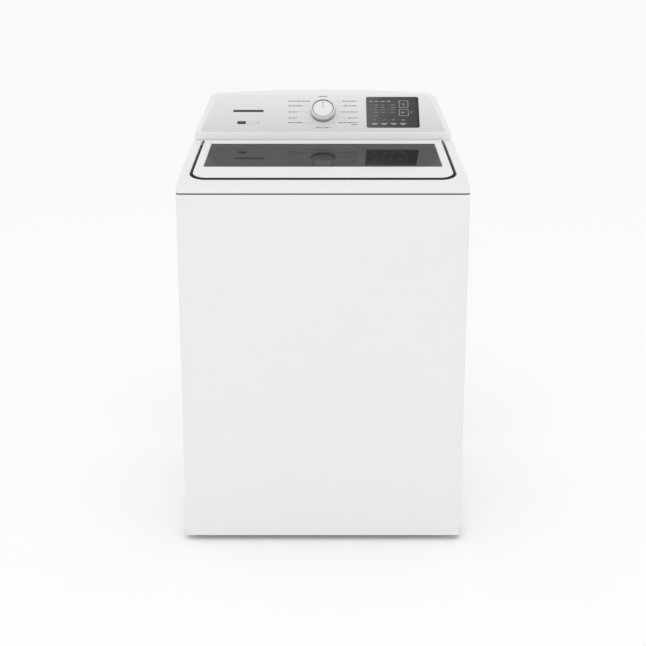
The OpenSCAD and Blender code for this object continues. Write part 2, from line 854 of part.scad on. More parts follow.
module gearcase() color(zinc) {
    difference() {
        union() {
            translate([0, 0, case_z]) cylinder(h = tub_z - case_z, r = 44);
            translate([0, 0, tub_z - 6]) cylinder(h = 6, r = 88);
            translate([0, 0, tub_z]) ring(shaft_r + 18, sleeve_r + 4, 6);
        }
        translate([0, 0, case_z - 1]) cylinder(h = 200, r = sleeve_r + 2);
        for (z = [case_z + 14, tub_z - 16]) translate([0, 0, z]) cylinder(h = 14, r = sleeve_r + 12);
        for (sx = [-1, 1]) for (sy = [-1, 1])
            translate([sx * 52, sy * 52, tub_z - 10]) cylinder(h = 20, r = 3.2);
    }
}

module shift_actuator() color(white) {
    translate([44, -16, case_z + 6]) cube([44, 32, 30]);
    translate([44, -6, case_z + 36]) cube([12, 12, 14]);
}

module motor() color(dark) {
    translate([0, motor_off, 0]) difference() {
        union() {
            translate([0, 0, 136]) cylinder(h = 92, r = 58);
            translate([0, 0, 228]) cylinder(h = 8, r = 40);
            for (a = [45:90:315]) rotate([0, 0, a]) translate([52, 0, 200])
                cylinder(h = tub_z - 200, r = 7);
        }
        translate([0, 0, 100]) cylinder(h = 90, r = 7 + run_gap);
    }
}

module run_capacitor() color(steel) {
    translate([130, 120, tub_z - 74]) cylinder(h = 74, r = 20);
}

module motor_pulley() color(zinc) {
    translate([0, motor_off, pulley_z]) {
        cylinder(h = pulley_h, r = motor_pulley_r);
        translate([0, 0, -2]) cylinder(h = 2, r = motor_pulley_r + 5);
        translate([0, 0, pulley_h]) cylinder(h = 2, r = motor_pulley_r + 5);
        cylinder(h = 80, r = 7);
    }
}

module driven_pulley() color(zinc) {
    translate([0, 0, pulley_z]) difference() {
        union() {
            cylinder(h = pulley_h, r = pulley_r);
            translate([0, 0, -2]) cylinder(h = 2, r = pulley_r + 5);
            translate([0, 0, pulley_h]) cylinder(h = 2, r = pulley_r + 5);
        }
        translate([0, 0, -3]) cylinder(h = 30, r = shaft_r);
        translate([0, 0, 5]) ring(pulley_r - 9, 24, 30);
        translate([0, 0, -31]) ring(pulley_r - 9, 24, 30);
        for (a = [0:60:300]) rotate([0, 0, a]) translate([52, 0, -3]) cylinder(h = 30, r = 14);
    }
}

module drive_belt() color(rubber) {
    slack = 0.4;
    belt_t = 4;
    translate([0, 0, pulley_z + 2]) linear_extrude(pulley_h - 4) difference() {
        hull() {
            circle(pulley_r + slack + belt_t, $fn = 96);
            translate([0, motor_off]) circle(motor_pulley_r + slack + belt_t);
        }
        hull() {
            circle(pulley_r + slack, $fn = 96);
            translate([0, motor_off]) circle(motor_pulley_r + slack);
        }
    }
}

module drain_pump() color(dark) {
    difference() {
        union() {
            translate([pump_x, pump_y, tub_z - 76]) cylinder(h = 70, r = 36);
            translate([pump_x, pump_y, tub_z - 6]) cylinder(h = 6, r = 26);
            translate([pump_x, pump_y, tub_z]) cylinder(h = 6, r = 16);
            translate([pump_x, pump_y + 20, tub_z - 50]) rotate([-90, 0, 0])
                cylinder(h = 45, r = 11);
        }
        translate([pump_x, pump_y, tub_z - 30]) cylinder(h = 50, r = 12);
    }
}

module drain_hose() color(rubber) {
    y = wrap_back - 34;
    z0 = tub_z - 50;
    pipe([[pump_x, pump_y + 65, z0], [pump_x, y, z0], [pump_x, y, port_z],
        [pump_x, wrap_back - 20, port_z]], 12);
}

// ---- basket and agitator ----

module basket() color(steel) {
    h = basket_top - basket_z;
    translate([0, 0, basket_z]) difference() {
        cylinder(h = h, r = basket_r, $fn = 96);
        translate([0, 0, basket_wall]) cylinder(h = h, r = basket_r - basket_wall, $fn = 96);
        translate([0, 0, -1]) cylinder(h = 9, r = 60);
    }
}

module balance_ring() color(panel_grey) {
    translate([0, 0, basket_top]) rotate_extrude($fn = 96) difference() {
        translate([basket_r - 22, 0]) rounded(28, 24, 5);
        translate([basket_r - 18, 4]) square([20, 16]);
    }
}

module basket_hub() color(zinc) {
    translate([0, 0, basket_z - 14]) difference() {
        union() {
            cylinder(h = 14, r = 62);
            cylinder(h = 22, r = 30);
            for (a = [0:60:300]) rotate([0, 0, a]) translate([50, -9, 6])
                cube([basket_r - 94, 18, 8]);
        }
        translate([0, 0, -1]) cylinder(h = 40, r = sleeve_r);
    }
}

module drive_tube() color(steel) {
    translate([0, 0, case_z + 4]) ring(sleeve_r, shaft_r + run_gap, basket_z + 8 - case_z - 4);
}

module wash_plate() color(white) {
    translate([0, 0, wash_z]) difference() {
        union() {
            cylinder(h = 8, r1 = wash_r, r2 = wash_r - 12);
            translate([0, 0, 8]) cylinder(h = 12, r1 = wash_r - 20, r2 = post_r + 6);
            for (a = [0:60:300]) rotate([0, 0, a]) translate([post_r + 1, -7, 6])
                cube([wash_r - post_r - 19, 14, 22]);
        }
        translate([0, 0, -1]) cylinder(h = 40, r = shaft_r);
    }
}

module agitator_post() color(white) {
    difference() {
        union() {
            translate([0, 0, post_z]) cylinder(h = 60, r1 = post_r, r2 = post_r - 16);
            translate([0, 0, post_z + 60])
                cylinder(h = agitator_h - 60, r1 = post_r - 16, r2 = post_r - 24);
            for (a = [30:60:330]) rotate([0, 0, a]) translate([20, -3, post_z + 40])
                cube([post_r - 4, 6, agitator_h - 110]);
        }
        translate([0, 0, post_z + 3]) cylinder(h = agitator_h, r = post_r - 28);
        translate([0, 0, post_z - 1]) cylinder(h = 9, r = shaft_r);
    }
}

module agitator_cap() color(panel_grey) {
    translate([0, 0, post_z + agitator_h]) {
        cylinder(h = 10, r1 = post_r - 22, r2 = post_r - 26);
        translate([0, 0, 10]) cylinder(h = 8, r1 = post_r - 26, r2 = post_r - 40);
        translate([0, 0, -12]) cylinder(h = 12, r = post_r - 28.2);
    }
}

module agitator_shaft() color(steel) {
    translate([0, 0, pulley_z - 4]) cylinder(h = post_z + 20 - pulley_z, r = shaft_r);
}

cabinet_wrapper();
rear_panel();
base_frame();
levelling_feet();
foot_locknuts();
corner_brackets();
rear_panel_screws();
cord_gland();
drain_port();
worktop();
lid_bumpers();
hinge_bushes();
lid_lock_housing();
lid_lock_bolt();
fill_spout();
fill_hose();
inlet_valve();
console_housing();
console_fascia();
console_rear_cover();
display_lens();
control_board();
power_key();
start_key();
option_key_1();
option_key_2();
option_key_3();
option_key_4();
knob_ring();
selector_encoder();
cycle_knob();
pressure_sensor();
lid_frame();
lid_seal();
lid_glass();
lid_liner();
lid_hinge_pins();
lid_strike();
suspension_rods();
suspension_springs();
outer_tub();
tub_ring();
tub_bearings();
gearcase();
motor();
shift_actuator();
run_capacitor();
drive_belt();
drain_pump();
drain_hose();
basket();
balance_ring();
basket_hub();
drive_tube();
wash_plate();
agitator_post();
agitator_cap();
agitator_shaft();
driven_pulley();
motor_pulley();
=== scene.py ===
from math import asin, cos, degrees, exp, pi, radians, remainder, sin, sqrt, tan
import bpy
import bmesh
from mathutils import Matrix, Vector


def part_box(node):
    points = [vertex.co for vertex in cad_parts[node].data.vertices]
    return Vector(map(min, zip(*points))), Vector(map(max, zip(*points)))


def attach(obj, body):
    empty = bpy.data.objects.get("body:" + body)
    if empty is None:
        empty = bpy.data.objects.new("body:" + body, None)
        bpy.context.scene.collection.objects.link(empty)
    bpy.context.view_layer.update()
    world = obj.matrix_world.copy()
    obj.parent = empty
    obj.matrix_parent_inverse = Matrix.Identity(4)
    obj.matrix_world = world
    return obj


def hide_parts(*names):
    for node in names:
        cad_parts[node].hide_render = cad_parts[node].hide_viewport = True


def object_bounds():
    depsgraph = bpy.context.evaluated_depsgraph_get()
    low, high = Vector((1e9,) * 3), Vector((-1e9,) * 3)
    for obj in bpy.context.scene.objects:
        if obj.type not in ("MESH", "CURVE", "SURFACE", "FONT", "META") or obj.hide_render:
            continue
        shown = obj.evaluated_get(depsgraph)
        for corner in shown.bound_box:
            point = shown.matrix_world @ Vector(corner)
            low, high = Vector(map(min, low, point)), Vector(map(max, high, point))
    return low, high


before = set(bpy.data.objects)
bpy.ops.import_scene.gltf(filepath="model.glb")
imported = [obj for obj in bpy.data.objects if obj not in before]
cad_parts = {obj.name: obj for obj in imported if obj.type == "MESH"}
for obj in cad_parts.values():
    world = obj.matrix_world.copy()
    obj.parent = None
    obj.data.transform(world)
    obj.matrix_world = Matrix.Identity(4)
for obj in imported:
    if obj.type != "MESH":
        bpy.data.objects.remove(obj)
cad_low, cad_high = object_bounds()

# ---------------------------------------------------------------- cabinet wrapper
# One sheet of prepainted steel folded round the front and both sides, with rolled
# upright corners and a hemmed top and bottom edge. The base frame holds it below
# and the corner brackets above.


class Value:
    """A shader or geometry socket; arithmetic on it adds Math nodes."""

    def __init__(self, tree, socket):
        self.tree, self.socket = tree, socket

    def _math(self, operation, first, second=None):
        inputs = {0: first} if second is None else {0: first, 1: second}
        return self.tree.node("ShaderNodeMath", {"operation": operation}, inputs)

    def __add__(self, other):
        return self._math("ADD", self, other)

    def __sub__(self, other):
        return self._math("SUBTRACT", self, other)

    def __rsub__(self, other):
        return self._math("SUBTRACT", other, self)

    def __mul__(self, other):
        return self._math("MULTIPLY", self, other)

    def __truediv__(self, other):
        return self._math("DIVIDE", self, other)

    __radd__, __rmul__ = __add__, __mul__

    def above(self, edge):
        return self._math("GREATER_THAN", self, edge)

    def below(self, edge):
        return self._math("LESS_THAN", self, edge)


class Nodes:
    """Adds nodes to a tree and joins them up."""

    def __init__(self, tree):
        self.tree = tree

    def feed(self, socket, value):
        if isinstance(value, Value):
            self.tree.links.new(value.socket, socket)
        else:
            socket.default_value = value

    def node(self, kind, settings=None, inputs=None, output=0):
        made = self.tree.nodes.new(kind)
        for key, value in (settings or {}).items():
            if key == "stops":
                ramp = made.color_ramp.elements
                while len(ramp) < len(value):
                    ramp.new(0.5)
                for element, (at, shade) in zip(ramp, value):
                    element.position, element.color = at, (*shade, 1)
            else:
                setattr(made, key, value)
        for key, value in (inputs or {}).items():
            self.feed(made.inputs[key], value)
        return Value(self, made.outputs[output])


class Finish(Nodes):
    """A Principled material built from one finish's own nodes, for one of the record's
    slots."""

    def __init__(self, name, slot, colour, roughness, **sockets):
        self.material = bpy.data.materials.new(name)
        self.material["slot"] = slot
        self.material.use_nodes = True
        super().__init__(self.material.node_tree)
        self.shader = self.tree.nodes["Principled BSDF"]
        self.set(Base_Color=(*colour, 1), Roughness=roughness, **sockets)
        self.place = self.node("ShaderNodeTexCoord", output="Object")

    def set(self, **sockets):
        for key, value in sockets.items():
            self.feed(self.shader.inputs[key.replace("_", " ")], value)

    def at(self, axis):
        return self.node("ShaderNodeSeparateXYZ", inputs={0: self.place}, output=axis)

    def noise(self, scale, detail=3.0, stretch=(1, 1, 1)):
        where = self.node("ShaderNodeMapping", inputs={"Vector": self.place, "Scale": stretch})
        return self.node("ShaderNodeTexNoise", inputs={"Vector": where, "Scale": scale,
                                                       "Detail": detail})

    def blend(self, amount, first, second):
        first, second = (c if isinstance(c, Value) else (*c, 1) for c in (first, second))
        return self.node("ShaderNodeMix", {"data_type": "RGBA"},
                         {0: amount, 6: first, 7: second}, output=2)

    def bump(self, height, strength, depth):
        self.set(Normal=self.node("ShaderNodeBump", inputs={
            "Height": height, "Strength": strength, "Distance": depth}))


def enamel(name, slot, colour, roughness):
    """Baked gloss enamel: a faint orange peel under a clear skin."""
    made = Finish(name, slot, colour, roughness, Coat_Weight=0.25, Coat_Roughness=0.12)
    cloud = made.noise(5.0)
    made.set(Roughness=cloud * 0.06 + (roughness - 0.03),
             Base_Color=made.blend(cloud, [c * 0.985 for c in colour], colour))
    made.bump(made.noise(420.0, 1.5), 0.05, 0.0004)
    return made.material


def moulded(name, slot, colour, roughness, grain=900.0, relief=0.08):
    """Injection-moulded plastic or rubber with a fine spark-eroded grain."""
    made = Finish(name, slot, colour, roughness)
    cloud = made.noise(9.0)
    made.set(Roughness=cloud * 0.08 + (roughness - 0.04),
             Base_Color=made.blend(cloud, [c * 0.96 for c in colour], colour))
    made.bump(made.noise(grain, 2.0), relief, 0.0003)
    return made.material


def metal(name, slot, colour, roughness, stretch=(1, 1, 1), grain=260.0, relief=0.04):
    """Bare or plated metal: grain drawn out along stretch, with duller patches."""
    made = Finish(name, slot, colour, roughness, Metallic=1.0)
    cloud, lines = made.noise(6.0), made.noise(grain, 2.0, stretch)
    made.set(Roughness=cloud * 0.14 + lines * 0.08 + (roughness - 0.10),
             Base_Color=made.blend(cloud, [c * 0.86 for c in colour], colour))
    made.bump(lines, relief, 0.0004)
    return made.material


white_enamel = enamel("white_enamel", "painted_white", (0.84, 0.84, 0.84), 0.34)


def dress(node, material):
    """Gives a CAD node its finish."""
    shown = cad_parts[node]
    shown.data.materials.clear()
    shown.data.materials.append(material)


def placed(name, data):
    """Puts a mesh, a lamp or a camera in the scene as an object."""
    made = bpy.data.objects.new(name, data)
    bpy.context.scene.collection.objects.link(made)
    return made


def piece(name, mesh, material, body, *nodes, smooth=35):
    """Puts a finished mesh in the scene, riding on its body, in place of CAD nodes."""
    mesh.materials.clear()
    mesh.materials.append(material)
    mesh.polygons.foreach_set("use_smooth", [True] * len(mesh.polygons))
    mesh.set_sharp_from_angle(angle=radians(smooth))
    made = placed(name, mesh)
    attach(made, body)
    if nodes:
        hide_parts(*nodes)
    return made


def finished(work, mesh=None):
    """Writes a bmesh out as a mesh and frees it."""
    mesh = mesh or bpy.data.meshes.new("shape")
    work.to_mesh(mesh)
    work.free()
    return mesh


def tidy(mesh):
    """Merges doubles, then turns every face outwards."""
    work = bmesh.new()
    work.from_mesh(mesh)
    bmesh.ops.remove_doubles(work, verts=work.verts, dist=1e-6)
    bmesh.ops.dissolve_degenerate(work, edges=work.edges, dist=1e-6)
    bmesh.ops.recalc_face_normals(work, faces=work.faces)
    return finished(work, mesh)


def mesh_of(points, faces):
    mesh = bpy.data.meshes.new("shape")
    mesh.from_pydata([tuple(p) for p in points], [], faces)
    return tidy(mesh)


def loft(rings, closed=True, caps=False, tied=False):
    """Joins rings of equal length into a skin. closed wraps each ring round on itself,
    caps fills the two ends and tied joins the last ring to the first."""
    count = len(rings[0])
    points = [p for ring in rings for p in ring]
    faces = []
    for i in range(len(rings) if tied else len(rings) - 1):
        a, b = i * count, (i + 1) % len(rings) * count
        for j in range(count if closed else count - 1):
            k = (j + 1) % count
            faces.append((a + j, a + k, b + k, b + j))
    if caps:
        faces.append(tuple(range(count)))
        faces.append(tuple(range(len(points) - count, len(points))))
    return mesh_of(points, faces)


def joined(meshes):
    """Several meshes as one."""
    work = bmesh.new()
    for mesh in meshes:
        work.from_mesh(mesh)
    return finished(work)


def arc(x, y, radius, start, end, steps):
    """Points on an arc in a plane, angles in degrees."""
    sweep = [radians(start + (end - start) * i / steps) for i in range(steps + 1)]
    return [(x + radius * cos(a), y + radius * sin(a)) for a in sweep]


def round_box(x0, x1, y0, y1, radius, steps):
    """A rectangle in a plane, with round corners."""
    return (arc(x1 - radius, y0 + radius, radius, -90, 0, steps)
            + arc(x1 - radius, y1 - radius, radius, 0, 90, steps)
            + arc(x0 + radius, y1 - radius, radius, 90, 180, steps)
            + arc(x0 + radius, y0 + radius, radius, 180, 270, steps))


def around(steps):
    """Evenly spaced angles in a full turn."""
    return [2 * pi * k / steps for k in range(steps)]


def offset(radius, height, *points):
    """Part of a profile, given from a radius and a height."""
    return [(radius + r, height + z) for r, z in points]


def thicken(shown, wall):
    solid = shown.modifiers.new("wall", "SOLIDIFY")
    solid.thickness, solid.offset, solid.use_even_offset = wall, -1, True


wrap_low, wrap_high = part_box("cabinet_wrapper")
sheet = 0.0012
corner_radius = 0.012
rear_flange = 0.022
both_sides = (-1, 1)
four_corners = [(sx, sy) for sx in both_sides for sy in both_sides]
facing_back = Matrix.Rotation(radians(-90), 4, "X")
hem = 0.0014                    # radius of the rolled top and bottom edges
seam = 0.0014                   # half the open seam below the worktop


def wrapper_plan(inset):
    """The fold lines seen from above, from the left rear flange round to the right one."""
    x, y0, y1, r = wrap_high.x - inset, wrap_low.y + inset, wrap_high.y - inset, corner_radius
    half = ([(x - rear_flange, y1), (x - 0.004, y1), (x, y1 - 0.004)]
            + [(x, y0 + r + (y1 - y0 - r) * k / 6) for k in range(5, 0, -1)]
            + arc(x - r, y0 + r, r, 0, -90, 8))
    return [(-px, py) for px, py in half] + half[::-1]


quarter = [radians(18 * i) for i in range(6)]
wrapper_rings = [[(x, y, wrap_high.z - seam - hem * (1 - sin(a)))
                  for x, y in wrapper_plan(hem * (1 - cos(a)))] for a in quarter[::-1]]
wrapper_rings += [[(x, y, wrap_low.z + hem * (1 - sin(a)))
                   for x, y in wrapper_plan(hem * (1 - cos(a)))] for a in quarter]
wrapper = piece("cabinet_wrapper_skin", loft(wrapper_rings, closed=False), white_enamel,
                "cabinet", "cabinet_wrapper")
thicken(wrapper, sheet)

# ---------------------------------------------------------------- rear panel
# A plain galvanised sheet that closes the back, stiffened by pressed ribs and a
# raised frame. It is screwed to the wrapper's flanges.
spangle = Finish("galvanised_steel", "zinc_steel", (0.60, 0.61, 0.62), 0.40, Metallic=0.85)
flake = spangle.node("ShaderNodeTexVoronoi", inputs={"Vector": spangle.place, "Scale": 210.0},
                     output="Color")
flake = spangle.node("ShaderNodeSeparateColor", inputs={0: flake})
spangle.set(Base_Color=spangle.blend(flake, (0.56, 0.57, 0.58), (0.65, 0.66, 0.67)),
            Roughness=flake * 0.14 + 0.32)
spangle.bump(flake, 0.03, 0.0003)
galvanised = spangle.material
panel_low, panel_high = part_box("rear_panel")
panel_y = panel_high.y - 0.002                  # outer face of the flat sheet
pressing = 0.0019                               # how far the ribs stand out
rib_places = (-0.200, 0.0, 0.200)


def near(value, edges, reach):
    """1 inside the span between two edges, easing to 0 over reach outside it."""
    out = max(edges[0] - value, value - edges[1], 0.0) / reach
    return 0.5 + 0.5 * cos(pi * min(out, 1.0))


def panel_relief(x, z):
    """How far the pressing stands out of the sheet."""
    rib = max(near(x, (c - 0.008, c + 0.008), 0.004) for c in rib_places)
    return pressing * rib * near(z, (0.224, panel_high.z - 0.204), 0.004)


def stops_along(low, high, edges, reach, coarse):
    """Grid lines: evenly spaced, with more of them across each pressed edge."""
    lines = [low + (high - low) * i / coarse for i in range(coarse + 1)]
    for edge in edges:
        lines = [v for v in lines if abs(v - edge) > reach * 1.6]
        lines += [edge + reach * k / 3 for k in range(-3, 4)]
    return sorted(lines)


across = stops_along(panel_low.x, panel_high.x,
                     [c + s * 0.010 for c in rib_places for s in both_sides], 0.0022, 24)
upward = stops_along(panel_low.z, panel_high.z, [0.222, panel_high.z - 0.202], 0.0022, 30)
panel_rings = [[(x, panel_y + panel_relief(x, z), z) for x in across] for z in upward]
panel_mesh = loft(panel_rings, closed=False)
rear_panel = piece("rear_panel_pressing", panel_mesh, galvanised, "cabinet", "rear_panel")
if panel_mesh.polygons[0].normal.y < 0:
    panel_mesh.flip_normals()
thicken(rear_panel, sheet)

# ---------------------------------------------------------------- rear panel screws
# Zinc-plated screws with a hexagon head on a washer face, three down each edge.
bright_zinc = metal("bright_zinc", "zinc_steel", (0.62, 0.63, 0.65), 0.30, grain=500.0)


def modelled(name, build, **sizes):
    """Runs a Geometry Nodes tree with named sizes and returns its mesh. build gets the
    tree and its inputs by name and returns the geometry and its material."""
    tree = bpy.data.node_groups.new(name, "GeometryNodeTree")
    tree.interface.new_socket("Geometry", in_out="OUTPUT", socket_type="NodeSocketGeometry")
    named = {}
    for key, value in sizes.items():
        kind = "NodeSocketInt" if isinstance(value, int) else "NodeSocketFloat"
        named[key] = tree.interface.new_socket(key, in_out="INPUT", socket_type=kind)
        named[key].default_value = value
    work = Nodes(tree)
    entry = tree.nodes.new("NodeGroupInput")
    geometry, material = build(work, {k: Value(work, entry.outputs[k]) for k in sizes})
    geometry = work.node("GeometryNodeRealizeInstances", inputs={0: geometry})
    geometry = work.node("GeometryNodeSetMaterial", inputs={0: geometry, "Material": material})
    leave = tree.nodes.new("NodeGroupOutput")
    work.feed(leave.inputs[0], geometry)
    holder = placed(name, bpy.data.meshes.new(name))
    modifier = holder.modifiers.new(name, "NODES")
    modifier.node_group = tree
    for key, value in sizes.items():
        modifier[named[key].identifier] = value
    ready = holder.evaluated_get(bpy.context.evaluated_depsgraph_get())
    mesh = bpy.data.meshes.new_from_object(ready)
    holder.modifiers.remove(modifier)
    bpy.data.objects.remove(holder)
    return mesh


def cone(work, sides, length, low, high, lift=0.0):
    """A closed cone or drum standing on z = lift."""
    made = work.node("GeometryNodeMeshCone", inputs={
        "Vertices": sides, "Depth": length, "Radius Bottom": low, "Radius Top": high})
    return work.node("GeometryNodeTransform", inputs={
        "Geometry": made, "Translation": (0.0, 0.0, lift)})


def together(work, *parts):
    """Joins geometry sockets."""
    made = work.tree.nodes.new("GeometryNodeJoinGeometry")
    for part in parts[::-1]:
        work.tree.links.new(part.socket, made.inputs[0])
    return Value(work, made.outputs[0])


screw_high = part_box("rear_panel_screws")[1]
screw_x = screw_high.x - 0.0045
screw_rows = [0.060, wrap_high.z / 2, wrap_high.z - 0.060]


def screws(work, size):
    """Two columns of three hexagon-head screws."""
    washer = cone(work, 24, 0.0009, size["Head"] * 0.98, size["Head"] * 0.92)
    head = cone(work, 6, 0.0015, size["Head"] * 0.74, size["Head"] * 0.72, 0.0009)
    slot = cone(work, 6, 0.0002, size["Head"] * 0.60, size["Head"] * 0.52, 0.0024)
    screw = together(work, washer, head, slot)
    spots = work.node("GeometryNodeMeshGrid", inputs={
        "Size X": size["Width"], "Size Y": size["Height"], "Vertices X": 2, "Vertices Y": 3})
    fixed = work.node("GeometryNodeInstanceOnPoints", inputs={"Points": spots,
                                                              "Instance": screw})
    return fixed, bright_zinc


screw_mesh = modelled("hexagon_screws", screws, Head=0.0045, Width=2 * screw_x,
                      Height=screw_rows[2] - screw_rows[0])
screw_mesh.transform(Matrix.Translation((0, panel_y, (screw_rows[0] + screw_rows[2]) / 2))
                     @ facing_back)
piece("rear_panel_screw_heads", tidy(screw_mesh), bright_zinc, "cabinet",
      "rear_panel_screws")

# ---------------------------------------------------------------- base frame and feet
# A galvanised rail frame welded from pressings. Each corner plate carries a levelling
# foot: a threaded stem with a ribbed rubber pad, clamped by a locknut.
dress("base_frame", galvanised)
dress("foot_locknuts", bright_zinc)
dress("corner_brackets", galvanised)
black_rubber = moulded("black_rubber", "black_rubber", (0.022, 0.022, 0.024), 0.62, 700.0, 0.15)


def turned(profile, steps=64, x=0.0, y=0.0, swell=None):
    """Turns a profile of (radius, height) about an upright axis at x, y. swell may alter
    the radius with the angle and height."""
    rings = []
    for radius, height in profile:
        radii = [(a, swell(radius, a, height) if swell else radius) for a in around(steps)]
        rings.append([(x + r * cos(a), y + r * sin(a), height) for a, r in radii])
    return loft(rings)


def thread(x, y, radius, low, high, pitch, depth, steps=32, lead_in=0.0015, caps=True):
    """A screw thread with tapered ends, as one skin, closed at its ends if caps."""
    rows = max(int((high - low) / pitch * 8), 8)
    rings = []
    for i in range(rows + 1):
        z = low + (high - low) * i / rows
        fade = min((z - low) / lead_in, (high - z) / lead_in, 1.0)
        ring = []
        for k, a in enumerate(around(steps)):
            turn = (z / pitch - k / steps) % 1.0
            r = radius - depth * (abs(turn * 2 - 1) if fade >= 1 else 1 - 0.3 * fade)
            ring.append((x + r * cos(a), y + r * sin(a), z))
        rings.append(ring)
    return loft(rings, caps=caps)


foot_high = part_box("levelling_feet")[1]
foot_x, foot_y = foot_high.x - 0.021, foot_high.y - 0.021
pad = [(0, 0), (0.0165, 0), (0.0185, 0.0006), (0.0205, 0.0018), (0.0210, 0.0030),
       (0.0204, 0.0036), (0.0204, 0.0044), (0.0210, 0.0050), (0.0210, 0.0062),
       (0.0204, 0.0068), (0.0200, 0.0084), (0.0184, 0.0098), (0.0150, 0.0106),
       (0.0120, 0.0125), (0.0105, 0.0138), (0.0, 0.0138)]
pads = [turned(pad, 48, sx * foot_x, sy * foot_y) for sx, sy in four_corners]
stems = [thread(sx * foot_x, sy * foot_y, 0.005, 0.013, foot_high.z, 0.0018, 0.0006, 20)
         for sx, sy in four_corners]
piece("levelling_foot_pads", joined(pads), black_rubber, "cabinet", "levelling_feet")
piece("levelling_foot_stems", joined(stems), bright_zinc, "cabinet")

# ---------------------------------------------------------------- cord gland and drain port
# Moulded rubber fittings pressed through the rear panel: a ribbed bush for the power
# cord, and the barbed spigot that the drain hose is clamped to.
gland_low, gland_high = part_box("cord_gland")
port_low, port_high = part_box("drain_port")


def rearward(mesh, low, high):
    """Lays a turned fitting on its axis so that it points backwards through its CAD box."""
    mesh.transform(Matrix.Translation(((low.x + high.x) / 2, low.y, (low.z + high.z) / 2))
                   @ facing_back)
    return tidy(mesh)


gland_length = gland_high.y - gland_low.y
gland = [(0.0045, 0), (0.0102, 0), (0.0110, 0.0008), (0.0110, 0.0072), (0.0146, 0.0073),
         (0.0150, 0.0078), (0.0150, 0.0092), (0.0146, 0.0099), (0.0108, 0.0101),
         (0.0104, gland_length - 0.0004), (0.0098, gland_length), (0.0049, gland_length),
         (0.0045, gland_length - 0.0004), (0.0045, 0)]
piece("cord_gland_bush", rearward(turned(gland, 48), gland_low, gland_high), black_rubber,
      "cabinet", "cord_gland")
port_length = port_high.y - port_low.y
flange_at = port_length - 0.014
spigot = [(0.0105, 0), (0.0170, 0), (0.0177, 0.001)]
spigot += offset(0, flange_at, (0.0177, 0), (0.0234, 0), (0.0240, 0.0005), (0.0240, 0.0015),
                 (0.0234, 0.0020), (0.0128, 0.0021))
for barb in range(3):
    spigot += offset(0, flange_at + 0.0035 + barb * 0.0034, (0.0127, 0), (0.0140, 0.0004),
                     (0.0139, 0.0009), (0.0127, 0.0030))
spigot += offset(0, port_length, (0.0124, -0.0003), (0.0120, 0), (0.0109, 0),
                 (0.0105, -0.0005)) + [(0.0105, 0)]
piece("drain_spigot", rearward(turned(spigot, 64), port_low, port_high), black_rubber,
      "cabinet", "drain_port")

# ---------------------------------------------------------------- worktop
# A single deep-drawn top. It has a rounded nose at the front, softened sides, the
# recess that the lid lies in, and the opening over the basket. It clips to the
# wrapper along a fine open seam.
top_low, top_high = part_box("worktop")
console_low, console_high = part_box("console_housing")
lid_low, lid_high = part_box("lid_frame")
top_slope = tan(radians(6.4))
nose_depth, nose_rise = 0.110, 0.026
side_round = 0.010
deck_z = console_low.z
lid_corner = 0.035
lid_gap = 0.004
lid_thick = 0.020
top_sheet = 0.0020
recess_depth = lid_thick + 0.008


def line_height(y):
    return deck_z - top_slope * (console_low.y - y)


def top_surface(x, y):
    """Height of the worktop's skin: a sloping line, a nose and rounded sides."""
    height = line_height(min(y, console_low.y))
    ahead = min(max((top_low.y + nose_depth - y) / nose_depth, 0.0), 1.0)
    height -= nose_rise * (1 - sqrt(1 - ahead * ahead))
    edge = min(max(abs(x) - (top_high.x - side_round), 0.0), side_round)
    return height - side_round + sqrt(side_round ** 2 - edge ** 2)


def draped(ring, drop=0.0):
    """A plan outline laid on the worktop's surface."""
    return [(x, y, max(top_surface(x, y) - drop, top_low.z + 0.0035)) for x, y in ring]


def under(ring, drop):
    """A plan outline on a plane that lies drop below the sloping line."""
    return [(x, y, line_height(y) - drop) for x, y in ring]


def between(a, b, share):
    return [(p[0] + (q[0] - p[0]) * share, p[1] + (q[1] - p[1]) * share)
            for p, q in zip(a, b)]


def outline(half_x, y0, y1, front, rear, grow=0.0):
    """A rectangle with round corners seen from above, grown by an amount and given as
    the same number of points along each edge whatever its size."""
    x, y0, y1 = half_x + grow, y0 - grow, y1 + grow
    front, rear = max(front + grow, 0.0004), max(rear + grow, 0.0004)
    corners = [arc(x - front, y0 + front, front, -90, 0, 10),
               arc(x - rear, y1 - rear, rear, 0, 90, 10),
               arc(rear - x, y1 - rear, rear, 90, 180, 10),
               arc(front - x, y0 + front, front, 180, 270, 10)]
    points = []
    for i, corner in enumerate(corners):
        steps = 36 if i % 2 == 0 else 16
        (ax, ay), (bx, by) = corner[-1], corners[(i + 1) % 4][0]
        points += corner + [(ax + (bx - ax) * k / steps, ay + (by - ay) * k / steps)
                            for k in range(1, steps)]
    return points


top_box = (top_high.x, top_low.y, top_high.y, 0.012, 0.004)
recess_box = (lid_high.x + lid_gap, lid_low.y - lid_gap - 0.003, console_low.y - 0.0005,
              lid_corner + lid_gap, 0.003)
top_edge, recess_edge = outline(*top_box), outline(*recess_box)
opening_middle = Vector((0, -0.09))
opening_radius, opening_back = 0.242, 0.040


def opening_point(x, y):
    """Where the line from the opening's middle towards a recess point leaves it."""
    way = (Vector((x, y)) - opening_middle).normalized()
    half = opening_middle.dot(way)
    reach = -half + sqrt(half * half - opening_middle.length_squared
                              + opening_radius ** 2)
    if way.y > 0:
        reach = min(reach, (opening_back - opening_middle.y) / way.y)
    return tuple(opening_middle + way * reach)


